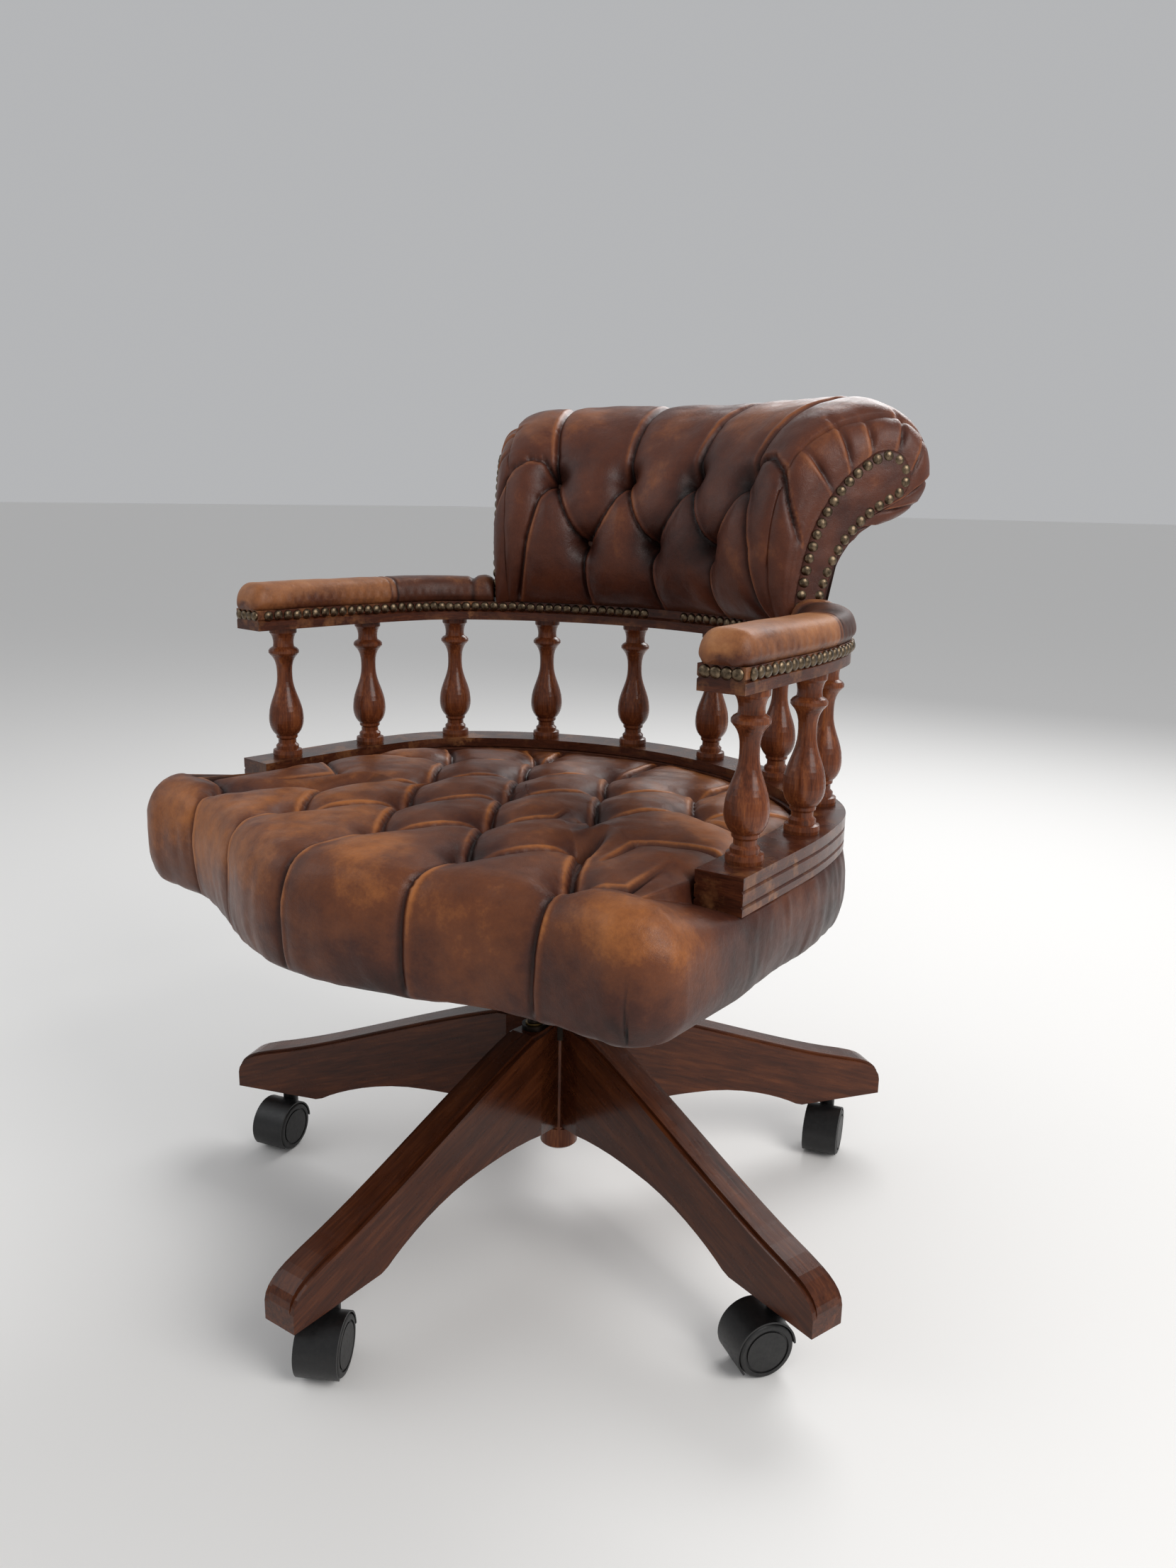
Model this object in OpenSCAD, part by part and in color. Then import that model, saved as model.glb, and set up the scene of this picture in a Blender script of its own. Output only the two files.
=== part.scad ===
// Swivel office chair with a buttoned leather seat and back, on a five-legged wooden base.
// Millimetres. +Z is up, -Y is the front, and the origin lies on the floor below the middle of the chair's box.

/* [Base] */
// Number of legs
leg_count = 5; // [4:1:6]
// Turn of the base from straight ahead, in degrees
base_turn = 3.5; // [0:0.5:36]
// Reach of a leg from the swivel axis to its tip
leg_reach = 373.5; // [320:1:450]
// Width of a leg
leg_w = 34.4; // [28:0.1:38]
// Width of a leg where it meets the post
leg_root_w = 20; // [14:0.5:21]
// Height of a leg's top where it meets the hub
leg_root_top = 199; // [180:1:230]
// Height of a leg's underside above the floor, at its caster
leg_under = 61; // [60.5:0.5:75]
// Height of a leg's tip, without its foot
leg_tip_h = 36; // [25:1:45]
// Depth of the step along both edges of a leg's top
leg_step = 3; // [1:0.5:5]
// Width of the raised band along a leg's top
leg_band_w = 25; // [18:0.5:27]
// Distance of a caster's stem from the swivel axis
caster_ring_r = 319; // [280:1:330]
// Diameter of the centre post
post_d = 38.5; // [38:0.5:46]
// Height of the post's lower end above the floor
post_bottom = 55; // [40:1:60]
// Height of the post's round end below its flats
post_end_h = 22; // [12:1:24]

/* [Hub] */
// Diameter of the hub's skirt
hub_skirt_d = 44; // [40:1:50]
// Depth of the hub's skirt below its plate
hub_skirt_h = 21; // [10:1:26]
// Thickness of the hub's plate
hub_plate_t = 5; // [3:0.5:8]
// Distance of a leg bolt from the swivel axis
leg_bolt_r = 44; // [38:0.5:52]
// Diameter of a leg bolt's shank
leg_bolt_d = 8; // [5:0.5:9]
// Height of the hub's boss above its plate
hub_boss_h = 16; // [10:1:24]

/* [Height screw and tilt] */
// Diameter of the height screw
screw_d = 20; // [16:0.5:22]
// Travel of the height screw
height_travel = 80; // [40:5:90]
// Height of the knurled height nut
nut_h = 17; // [12:1:20]
// Height of the tilt pin above the floor, with the seat at its lowest
tilt_pin_z = 314; // [312:1:318]
// Diameter of the tilt pin
tilt_pin_d = 12; // [8:0.5:14]
// Height of the seat board's underside above the floor, with the seat at its lowest
seat_board_z = 337; // [337:1:345]
// Distance of the tension rod in front of the tilt pin
tension_rod_y = 46; // [42:1:52]
// Diameter of the tension knob
tension_knob_d = 36; // [24:1:40]

/* [Casters] */
// Diameter of a caster's wheel
wheel_d = 50; // [44:1:50]
// Width of one of a caster's two wheels
wheel_w = 10.5; // [9:0.5:14]
// Space between a caster's two wheels
wheel_gap = 17; // [17:0.5:24]
// Distance of the axle behind the stem
caster_trail = 18; // [14:1:24]
// Diameter of the caster's axle
axle_d = 6; // [5:0.5:8]
// Diameter of the caster's stem
stem_d = 10; // [8:0.5:11]
// Length of the stem inside the leg
stem_h = 26; // [18:1:28]
// Directions in which the wheels stand, in degrees from +X, one per leg
caster_turn = [-58, -121, -72, -100, -74];

/* [Rails] */
// Distance of the rails' middle behind the swivel axis
back_y = 185; // [160:1:220]
// Radius of the rails across the back
back_r = 320; // [280:1:380]
// Turn of the rails across half of the back, in degrees
back_turn = 45; // [42:0.5:48]
// Radius of the rails at the back corners
corner_r = 121; // [90:1:150]
// Turn of the rails at a back corner, in degrees
corner_turn = 30; // [26:0.5:34]
// Radius of the rails along an arm
arm_r = 462; // [380:1:520]
// Turn of the rails along an arm, in degrees
arm_turn = 11; // [8:0.5:14]
// Length of the lower rail from the middle of the back to its front end
lower_rail_len = 509; // [480:1:560]
// Extra length of the upper rail at its front end
upper_rail_extra = 3; // [0:1:20]
// Width of the lower rail
lower_rail_w = 40.8; // [34:0.2:48]
// Height of the lower rail
lower_rail_h = 30; // [22:0.5:36]
// Height of the lower rail's top above the floor, with the seat at its lowest
lower_rail_top = 444.6; // [440:0.2:470]
// Width of the upper rail
upper_rail_w = 39; // [34:0.5:46]
// Height of the upper rail
upper_rail_h = 20; // [16:0.5:28]
// Distance of the upper rail inwards from the lower one
upper_rail_inset = 4; // [0:0.5:8]
// Depth of the grooves along the rails' faces
rail_groove = 1.4; // [0.6:0.2:2.4]

/* [Spindles] */
// Number of spindles along half of the rails
spindles_per_side = 5; // [4:1:6]
// Distance from one spindle to the next along the rails
spindle_pitch = 104.5; // [84:0.5:112]
// Height of a spindle between the rails
spindle_h = 133.5; // [110:0.5:165]
// Largest diameter of a spindle
spindle_d = 34.9; // [30:0.1:37]
// Diameter of a spindle's tenons
tenon_d = 12; // [8:0.5:14]
// Depth of a spindle's tenon in a rail
tenon_h = 10; // [8:0.5:14]

/* [Seat] */
// Thickness of the seat board
seat_board_t = 15; // [12:0.5:18]
// Distance from the swivel axis forwards to the seat's front corners
seat_front = 280; // [265:1:310]
// Bow of the seat's front edge beyond its corners
seat_bow = 62; // [0:1:80]
// Half of the width over which the front edge bows
seat_bow_half = 235; // [180:1:245]
// Half of the seat's width at its front corners
seat_corner_x = 305; // [300:1:320]
// Radius of the seat's front corners
seat_corner_r = 40; // [38:1:60]
// Overhang of the leather band past the lower rail
band_bulge = 4; // [1:0.5:8]
// Thickness of the leather around the seat's frame
seat_leather_t = 8; // [6:0.5:12]
// Width of the seat frame's timber
seat_frame_w = 26; // [20:1:32]
// Rise of the seat cushion above the lower rail's top
seat_crown = 6; // [0:0.5:12]
// Distance from one button to the next across the seat
tuft_x = 103; // [90:1:112]
// Distance from one row of the seat's buttons to the next
tuft_y = 80; // [70:1:84]
// Distance of the front row of buttons behind the swivel axis
tuft_front_y = -238; // [-250:1:-225]

/* [Arms and back] */
// Height of an arm's pad above the upper rail
arm_pad_h = 26; // [18:0.5:34]
// Overhang of an arm's pad past the upper rail
arm_pad_bulge = 3; // [1:0.5:5]
// Half of the back's width, as an angle along the rails in degrees
back_half_turn = 38; // [34:0.5:41]
// Height of the back above the upper rail
back_h = 212; // [200:1:250]
// Reach of the back's roll behind the upper rail's middle
back_roll_reach = 120; // [108:1:140]
// Pitch of the nails
nail_pitch = 11; // [9:0.1:14]
// Diameter of a nail's head
nail_d = 10; // [7:0.1:10.5]
// Diameter of a button
button_d = 17; // [13:0.5:20]

/* [Fits] */
// Radial clearance of pins and shafts that turn or slide
running_gap = 0.05; // [0.02:0.01:0.1]
// Radial clearance of tenons and bolts in their holes
joint_gap = 0.05; // [0.02:0.01:0.1]
// Clearance between soft pieces and their neighbours
soft_gap = 0.3; // [0.2:0.1:0.8]

/* [Hidden] */
$fn = 64;

// Place of the swivel axis in the frame, which puts the origin below the middle of the chair's box
axis_x = -6;
axis_y = 25;
cut = 1; // How far a cutter runs past the face it opens

// Base
leg_step_turn = 360 / leg_count;
leg_under_start = leg_reach - 96.5;         // inner end of the flat below a leg's foot
post_flat_r = leg_root_w / 2 / tan(leg_step_turn / 2) + 2.5;
post_top = leg_root_top - hub_skirt_h;
taper_end = 53;                             // where a leg reaches its full width
wheel_r = wheel_d / 2;
wheel_y = wheel_gap / 2;

// Hub, screw and tilt, stacked upwards from the hub's plate
hub_plate_top = leg_root_top + hub_plate_t;
hub_top = hub_plate_top + hub_boss_h;
washer_t = 3;
nut_z = hub_top + washer_t;
bracket_z = nut_z + nut_h + 2;              // underside of the tilt bracket, with the seat at its lowest
bracket_t = 6;
bracket_half_w = 32;
cheek_t = 5;
ear_gap = 1;
ear_t = 4;
seat_plate_t = 3;
seat_plate_z = seat_board_z - seat_plate_t;
seat_plate_half = [90, 75];
lug_z = tilt_pin_z - 14;                    // underside of the lug that the tension spring presses on
lug_t = 5;
spring_h = 22;
spring_wire = 3;
rod_d = 10;
knob_h = 15;
knob_z = lug_z - spring_h - knob_h;
bolt_head_d = 13;
bolt_head_h = 5;
bolt_washer_d = 17;
bolt_washer_t = 1.6;
leg_bolt_len = 38;
seat_screw_d = 6;
seat_screw_places = [[70, 55], [-70, 55], [70, -55], [-70, -55]];

// Rails: each arc is [centre, radius, first heading, last heading], from the middle of the back to the front
heading_1 = back_turn;
heading_2 = heading_1 + corner_turn;
heading_3 = heading_2 + arm_turn;
function outward(h) = [sin(h), cos(h)];
function onward(h) = [cos(h), -sin(h)];
back_centre = [0, back_y - back_r];
corner_centre = back_centre + (back_r - corner_r) * outward(heading_1);
arm_centre = corner_centre + (corner_r - arm_r) * outward(heading_2);
arcs = [[back_centre, back_r, 0, heading_1], [corner_centre, corner_r, heading_1, heading_2],
    [arm_centre, arm_r, heading_2, heading_3]];
arc_end_1 = back_r * heading_1 * PI / 180;
arc_end_2 = arc_end_1 + corner_r * corner_turn * PI / 180;
arc_end_3 = arc_end_2 + arm_r * arm_turn * PI / 180;
straight_start = arm_centre + arm_r * outward(heading_3);

// Heading, and point in plan, at a distance along the rails and at an offset outwards from their middle
function heading(s) = s < arc_end_1 ? s / back_r * 180 / PI
    : s < arc_end_2 ? heading_1 + (s - arc_end_1) / corner_r * 180 / PI
    : s < arc_end_3 ? heading_2 + (s - arc_end_2) / arm_r * 180 / PI : heading_3;
function rail_point(s, off = 0) = let (h = heading(s))
    (s < arc_end_1 ? back_centre + (back_r + off) * outward(h)
    : s < arc_end_2 ? corner_centre + (corner_r + off) * outward(h)
    : s < arc_end_3 ? arm_centre + (arm_r + off) * outward(h)
    : straight_start + (s - arc_end_3) * onward(h) + off * outward(h));
rail_step = 14; // Distance between an outline's points along the rails
function rail_side(from, to, off) = let (n = ceil((to - from) / rail_step))
    [for (i = [0:n]) rail_point(from + (to - from) * i / n, off)];
function mirrored(points) = [for (i = [len(points) - 1:-1:0]) [-points[i][0], points[i][1]]];

lower_rail_z = lower_rail_top - lower_rail_h;
upper_rail_z = lower_rail_top + spindle_h;
upper_rail_top = upper_rail_z + upper_rail_h;
upper_rail_len = lower_rail_len + upper_rail_extra;
function spindle_s(i) = (i + 0.5) * spindle_pitch - 0.5;

// Seat outline: the rails' outer side, the front corners and a bow across the front
seat_side_off = lower_rail_w / 2 + band_bulge;
corner_mid = [seat_corner_x - seat_corner_r, seat_corner_r - seat_front];
function front_y(x) = -seat_front - seat_bow * (1 + cos(180 * min(abs(x) / seat_bow_half, 1))) / 2;
function front_side(grow) = concat(
    [for (i = [0:8]) let (a = -i * 90 / 8) corner_mid + max(1, seat_corner_r + grow) * [cos(a), sin(a)]],
    [for (i = [1:12]) let (x = corner_mid[0] * (1 - i / 12)) [x, front_y(x) - grow]]);
function seat_half(grow) = concat(rail_side(0, lower_rail_len, seat_side_off + grow), front_side(grow));
function seat_outline(grow) = let (half = seat_half(grow))
    concat(half, [for (i = [len(half) - 2:-1:1]) [-half[i][0], half[i][1]]]);
seat_frame_z = seat_board_z + seat_board_t;
seat_side_top = lower_rail_z - soft_gap;
seat_top = lower_rail_top + seat_crown;
inner_off = -lower_rail_w / 2 - soft_gap;
button_h = 6;
tuft_depth = 14;
tuft_rows = [[-2, -1, 0, 1, 2], [-1.5, -0.5, 0.5, 1.5], [-1, 0, 1], [-1.5, -0.5, 0.5, 1.5], [-1, 0, 1]];
function tuft_place(row, col) = [tuft_x * col, tuft_front_y + tuft_y * row];

// Back: its cross-section stands on the upper rail, x outwards from the rails' middle and y up from the rail's top
function curve(a, b, c, d, n) = [for (i = [0:n]) let (t = i / n, u = 1 - t)
    u * u * u * a + 3 * u * u * t * b + 3 * u * t * t * c + t * t * t * d];
roll_r = 56;
end_roll_r = 41;
end_drop = 27;                              // how much lower the back is at its ends
end_length = 54;                            // length over which the back gets lower
end_steps = 2;
function back_outer(mid, r, front, edge) = concat(
    curve([-24 - edge, 0.3], [-44 - front, 22], [-44 - front, 80], [-30 - front * 0.7, 132], 6),
    curve([-22 - front * 0.7, 142], [-14, mid[1] + r - 26], [20, mid[1] + r - 3], [mid[0], mid[1] + r], 6),
    [for (a = [75:-15:-75]) mid + r * [cos(a), sin(a)]],
    curve(mid + [-8, 1 - r], [34 + edge, 86 - edge], [12 + edge, 60], [12 + edge, 0.3], 6));
middle_outer = back_outer([back_roll_reach - roll_r, back_h - roll_r], roll_r, 22, 2);
end_outer = back_outer([back_roll_reach - roll_r + 2, back_h - end_drop - end_roll_r], end_roll_r, 0, 0);

// The wooden core, and a pocket for it that leaves room all round
core_top = [64, 146];
function core_outline(grow) = concat(
    curve([-12 - grow, 0.3 - 3 * grow], [-8 - grow, 60], [8 - grow, 104], core_top + (12 + grow) * [cos(130), sin(130)], 8),
    [for (a = [110:-20:-90]) core_top + (12 + grow) * [cos(a), sin(a)]],
    curve(core_top + (12 + grow) * [cos(110), -sin(110)], [36, 112], [2 + grow, 60], [2 + grow, 0.3 - 3 * grow], 8));
core_gap = 0.5;

// The end panel's edge, and the line of nails along it
panel_loop = [63, 136];
panel_loop_r = 20;
function panel_outline(grow, foot = 0.3) = concat(
    curve([-16 - grow, foot], [-14 - grow, 60], [-2 - grow, 120], panel_loop + (panel_loop_r + grow) * [cos(130), sin(130)], 12),
    [for (a = [110:-20:-50]) panel_loop + (panel_loop_r + grow) * [cos(a), sin(a)]],
    curve(panel_loop + (panel_loop_r + grow) * [cos(70), -sin(70)], [34, 98], [6 + grow, 66], [2 + grow, foot], 12));
panel_edge = 4;
panel_t = 4;
panel_gap = 0.3;

// Lengths along a line of points, and the point and direction at a length along it
function lengths(points, i = 0, sum = 0) = i >= len(points) - 1 ? [sum]
    : concat([sum], lengths(points, i + 1, sum + norm(points[i + 1] - points[i])));
function line_point(points, sums, s) = let (i = [for (j = [0:len(points) - 2]) if (sums[j] <= s) j],
    k = i[len(i) - 1]) points[k] + (points[k + 1] - points[k]) * (s - sums[k]) / (sums[k + 1] - sums[k]);

module at_axis() {
    translate([axis_x, axis_y, 0]) children();
}

module at_leg(k) {
    at_axis() rotate(base_turn + leg_step_turn * (k - 1) - 90) children();
}

// Carries a cross-section, x outwards and y up, along the rails between two headings of one arc
module along_arc(arc, from, to) {
    translate(arc[0]) rotate(90 - to) rotate_extrude(angle = to - from, $fn = 180)
        translate([arc[1], 0]) children();
}

module along_straight(length) {
    translate(straight_start) rotate([0, 0, -heading_3]) rotate([90, 0, 90]) linear_extrude(length) children();
}

// Carries a cross-section along one side of the rails, from a heading to the front end
module along_side(length, from = 0) {
    for (arc = arcs) if (arc[3] > from) along_arc(arc, max(from, arc[2]), arc[3]) children();
    along_straight(length - arc_end_3) children();
}

module both_sides() {
    children();
    mirror([1, 0, 0]) children();
}

// ---- Base ----

module leg_profile(drop) {
    tip_top = leg_under + leg_tip_h;
    polygon(concat(
        [[post_flat_r, leg_root_top - drop]],
        curve([62, leg_root_top - drop], [150, 175 - drop], [255, 128 - drop],
            [leg_reach - 38, tip_top + 11 - drop], 14),
        curve([leg_reach - 30, tip_top + 8.5 - drop], [leg_reach - 14, tip_top + 4 - drop],
            [leg_reach - 1, tip_top - 3 - drop], [leg_reach, tip_top - 16 - drop], 6),
        [[leg_reach, leg_under], [leg_under_start, leg_under]],
        curve([leg_under_start - 8, leg_under + 2.5], [248, 76], [200, 96], [145, 96], 8),
        curve([130, 96.3], [95, 97], [45, 92], [post_flat_r, post_bottom + post_end_h + 3], 6)));
}

module leg_plan(width) {
    root = min(leg_root_w, width);
    linear_extrude(2 * leg_root_top) polygon([[post_flat_r, -root / 2], [taper_end, -width / 2],
        [leg_reach + cut, -width / 2], [leg_reach + cut, width / 2], [taper_end, width / 2],
        [post_flat_r, root / 2]]);
}

module leg(k) {
    color("#4a2416") at_leg(k) difference() {
        union() {
            intersection() {
                rotate([90, 0, 0]) translate([0, 0, -leg_w]) linear_extrude(2 * leg_w) leg_profile(leg_step);
                leg_plan(leg_w);
            }
            intersection() {
                rotate([90, 0, 0]) translate([0, 0, -leg_w]) linear_extrude(2 * leg_w) leg_profile(0);
                leg_plan(leg_band_w);
            }
        }
        translate([0, 0, post_top]) cylinder(h = hub_skirt_h + cut, r = hub_skirt_d / 2 + joint_gap);
        translate([leg_bolt_r, 0, hub_plate_top - leg_bolt_len]) cylinder(h = leg_bolt_len, r = leg_bolt_d / 2 + joint_gap);
        translate([caster_ring_r, 0, leg_under - cut]) cylinder(h = stem_h + 3 + cut, r = socket_r + joint_gap);
    }
}
socket_r = stem_d / 2 + 2;
socket_flange_t = 1.5;

module leg_1() leg(1);
module leg_2() leg(2);
module leg_3() leg(3);
module leg_4() leg(4);
module leg_5() leg(5);

module centre_post() {
    color("#3e1e12") at_axis() difference() {
        union() {
            translate([0, 0, post_bottom + 2]) cylinder(h = post_top - post_bottom - 2, d = post_d);
            translate([0, 0, post_bottom]) cylinder(h = 2, d1 = post_d - 4, d2 = post_d);
        }
        for (k = [1:leg_count]) rotate(base_turn + leg_step_turn * (k - 1) - 90)
            translate([post_flat_r, -post_d / 2, post_bottom + post_end_h]) cube([post_d, post_d, post_top]);
        translate([0, 0, post_bottom + post_end_h + 3]) cylinder(h = post_top, r = screw_d / 2 + 0.4);
    }
}

module hub_spider() {
    color("#33302e") at_axis() difference() {
        union() {
            translate([0, 0, post_top]) cylinder(h = hub_top - post_top - 2, d = hub_skirt_d - 8);
            translate([0, 0, post_top]) cylinder(h = hub_skirt_h + 1, d = hub_skirt_d);
            translate([0, 0, hub_top - 2]) cylinder(h = 2, d1 = hub_skirt_d - 8, d2 = hub_skirt_d - 12);
            translate([0, 0, leg_root_top]) cylinder(h = hub_plate_t, d = hub_skirt_d + 4);
            for (k = [1:leg_count]) rotate(base_turn + leg_step_turn * (k - 1) - 90) {
                translate([hub_skirt_d / 2 - 6, -11, leg_root_top]) cube([leg_bolt_r - hub_skirt_d / 2 + 6, 22, hub_plate_t]);
                translate([leg_bolt_r, 0, leg_root_top]) cylinder(h = hub_plate_t, r = 12);
            }
        }
        translate([0, 0, post_top - cut]) cylinder(h = hub_top, r = screw_d / 2 + running_gap);
        for (k = [1:leg_count]) rotate(base_turn + leg_step_turn * (k - 1) - 90)
            translate([leg_bolt_r, 0, 0]) cylinder(h = hub_top, r = leg_bolt_d / 2 + joint_gap);
    }
}

module leg_bolts() {
    color("#55524e") for (k = [1:leg_count]) at_leg(k) translate([leg_bolt_r, 0, hub_plate_top]) {
        translate([0, 0, 1 - leg_bolt_len]) cylinder(h = leg_bolt_len + bolt_washer_t - 1, d = leg_bolt_d);
        translate([0, 0, bolt_washer_t]) difference() {
            cylinder(h = bolt_head_h, d = bolt_head_d);
            translate([0, 0, 2]) cylinder(h = bolt_head_h, d = 6.5, $fn = 6);
        }
    }
}

module leg_washers() {
    color("#7b6a45") for (k = [1:leg_count]) at_leg(k) translate([leg_bolt_r, 0, hub_plate_top]) difference() {
        cylinder(h = bolt_washer_t, d = bolt_washer_d);
        translate([0, 0, -cut]) cylinder(h = bolt_washer_t + 2 * cut, r = leg_bolt_d / 2 + joint_gap);
    }
}

module caster_sockets() {
    color("#8d7a4c") for (k = [1:leg_count]) at_leg(k) translate([caster_ring_r, 0, leg_under]) difference() {
        union() {
            translate([0, 0, -socket_flange_t]) cylinder(h = socket_flange_t, r = socket_r + 4);
            cylinder(h = stem_h + 2, r = socket_r);
        }
        translate([0, 0, -socket_flange_t - cut]) cylinder(h = stem_h + socket_flange_t + cut, r = stem_d / 2 + running_gap);
    }
}

// ---- Casters ----

// Puts children at the foot of caster k's stem, on the floor, with +X the way its wheels stand
module at_caster(k) {
    leg_heading = base_turn + leg_step_turn * (k - 1) - 90;
    at_axis() rotate(leg_heading) translate([caster_ring_r, 0, 0]) rotate(caster_turn[k - 1] - leg_heading) children();
}
hood_r = wheel_r + 2.2;
boss_r = stem_d / 2 + 3;
hood_top = leg_under - socket_flange_t - 0.4;

module caster_hood(k) {
    wall = 2;
    width = wheel_gap + 2 * wheel_w - 1;
    color("#1b1b1c") at_caster(k) difference() {
        union() {
            translate([caster_trail, 0, wheel_r]) rotate([90, 0, 0]) {
                translate([0, 0, -width / 2]) linear_extrude(width) difference() {
                    intersection() {
                        circle(r = hood_r);
                        polygon([[0, 0], [40, -34], [40, 40], [-40, 40], [-40, 2]]);
                    }
                    circle(r = hood_r - wall + 0.4);
                }
                translate([0, 0, -wheel_y + 0.5]) cylinder(h = wheel_gap - 1, r = 11);
                translate([0, 0, -4]) linear_extrude(8) intersection() {
                    circle(r = hood_r - 0.5);
                    translate([-40, -8]) square([80, 60]);
                }
            }
            translate([0, 0, 12]) cylinder(h = hood_top - 12, r = boss_r);
        }
        translate([caster_trail, 0, wheel_r]) rotate([90, 0, 0])
            translate([0, 0, -width]) cylinder(h = 2 * width, r = axle_d / 2 + joint_gap);
        translate([0, 0, 20]) cylinder(h = hood_top, r = stem_d / 2 + joint_gap);
    }
}

module caster_stem(k) {
    color("#9a9a98") at_caster(k) {
        translate([0, 0, 20.5]) cylinder(h = leg_under + stem_h - 22, d = stem_d);
        translate([0, 0, leg_under + stem_h - 1.5]) cylinder(h = 1, d1 = stem_d, d2 = stem_d - 2);
    }
}

module caster_axle(k) {
    length = wheel_gap + 2 * wheel_w - 4;
    color("#9a9a98") at_caster(k) translate([caster_trail, 0, wheel_r]) rotate([90, 0, 0])
        translate([0, 0, -length / 2]) cylinder(h = length, d = axle_d);
}

module caster_wheel(k, side) {
    round = 3;
    color("#202022") at_caster(k) translate([caster_trail, 0, wheel_r]) rotate([side * 90, 0, 0])
        translate([0, 0, wheel_y]) difference() {
            rotate_extrude() {
                square([wheel_r - 0.4, wheel_w - round]);
                square([wheel_r - round, wheel_w]);
                translate([0, 1]) square([wheel_r, wheel_w - round - 1]);
                translate([wheel_r - round, wheel_w - round]) circle(r = round, $fn = 32);
            }
            translate([0, 0, -cut]) cylinder(h = wheel_w - 1, r = axle_d / 2 + running_gap);
            translate([0, 0, -cut]) difference() {
                cylinder(h = 7, r = wheel_r - 4);
                cylinder(h = 9, r = 8);
            }
            translate([0, 0, wheel_w - 1.2]) difference() {
                cylinder(h = 3, r = wheel_r - 5);
                translate([0, 0, -1]) cylinder(h = 5, r = wheel_r - 7);
            }
        }
}

module caster_1_hood() caster_hood(1);
module caster_2_hood() caster_hood(2);
module caster_3_hood() caster_hood(3);
module caster_4_hood() caster_hood(4);
module caster_5_hood() caster_hood(5);
module caster_1_stem() caster_stem(1);
module caster_2_stem() caster_stem(2);
module caster_3_stem() caster_stem(3);
module caster_4_stem() caster_stem(4);
module caster_5_stem() caster_stem(5);
module caster_1_axle() caster_axle(1);
module caster_2_axle() caster_axle(2);
module caster_3_axle() caster_axle(3);
module caster_4_axle() caster_axle(4);
module caster_5_axle() caster_axle(5);
module caster_1_wheel_left() caster_wheel(1, 1);
module caster_2_wheel_left() caster_wheel(2, 1);
module caster_3_wheel_left() caster_wheel(3, 1);
module caster_4_wheel_left() caster_wheel(4, 1);
module caster_5_wheel_left() caster_wheel(5, 1);
module caster_1_wheel_right() caster_wheel(1, -1);
module caster_2_wheel_right() caster_wheel(2, -1);
module caster_3_wheel_right() caster_wheel(3, -1);
module caster_4_wheel_right() caster_wheel(4, -1);
module caster_5_wheel_right() caster_wheel(5, -1);

// ---- Height screw and tilt ----

module thrust_washer() {
    color("#8a8a86") at_axis() translate([0, 0, hub_top]) difference() {
        cylinder(h = washer_t, d = hub_skirt_d - 12);
        translate([0, 0, -cut]) cylinder(h = washer_t + 2 * cut, r = screw_d / 2 + running_gap);
    }
}

module height_nut() {
    grips = 10;
    nut_d = hub_skirt_d - 6;
    color("#3a3733") at_axis() translate([0, 0, nut_z]) difference() {
        union() {
            cylinder(h = nut_h - 4, d = nut_d);
            translate([0, 0, nut_h - 4]) cylinder(h = 4, d1 = nut_d, d2 = nut_d - 8);
        }
        translate([0, 0, -cut]) cylinder(h = nut_h + 2 * cut, r = screw_d / 2 + running_gap);
        for (i = [1:grips]) rotate(i * 360 / grips)
            translate([nut_d / 2 + 1.5, 0, 2]) cylinder(h = nut_h, d = 6, $fn = 24);
    }
}

module screw_spindle() {
    bottom = post_bottom + post_end_h + 8;
    color("#8a8a86") at_axis() {
        translate([0, 0, bottom + 2]) cylinder(h = bracket_z - bottom - 2, d = screw_d);
        translate([0, 0, bottom]) cylinder(h = 2, d1 = screw_d - 4, d2 = screw_d);
    }
}

module tilt_bracket() {
    cheek_h = tilt_pin_z + 9 - bracket_z;
    color("#2b2b2c") at_axis() difference() {
        union() {
            translate([-bracket_half_w, -30, bracket_z]) cube([2 * bracket_half_w, 60, bracket_t]);
            for (x = [-bracket_half_w, bracket_half_w - cheek_t]) {
                translate([x, -20, bracket_z]) cube([cheek_t, 40, cheek_h]);
                translate([x, -tension_rod_y - 12, lug_z]) cube([cheek_t, tension_rod_y, 12]);
            }
            translate([-bracket_half_w, -tension_rod_y - 14, lug_z]) cube([2 * bracket_half_w, 28, lug_t]);
        }
        translate([-bracket_half_w - cut, 0, tilt_pin_z]) rotate([0, 90, 0])
            cylinder(h = 2 * (bracket_half_w + cut), r = tilt_pin_d / 2 + joint_gap);
        translate([0, -tension_rod_y, lug_z - cut]) cylinder(h = lug_t + 2 * cut, d = rod_d + 7);
    }
}

module tilt_pin() {
    half = bracket_half_w + ear_gap + ear_t + 3;
    color("#9a9a98") at_axis() translate([-half, 0, tilt_pin_z]) rotate([0, 90, 0]) cylinder(h = 2 * half, d = tilt_pin_d);
}

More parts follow.
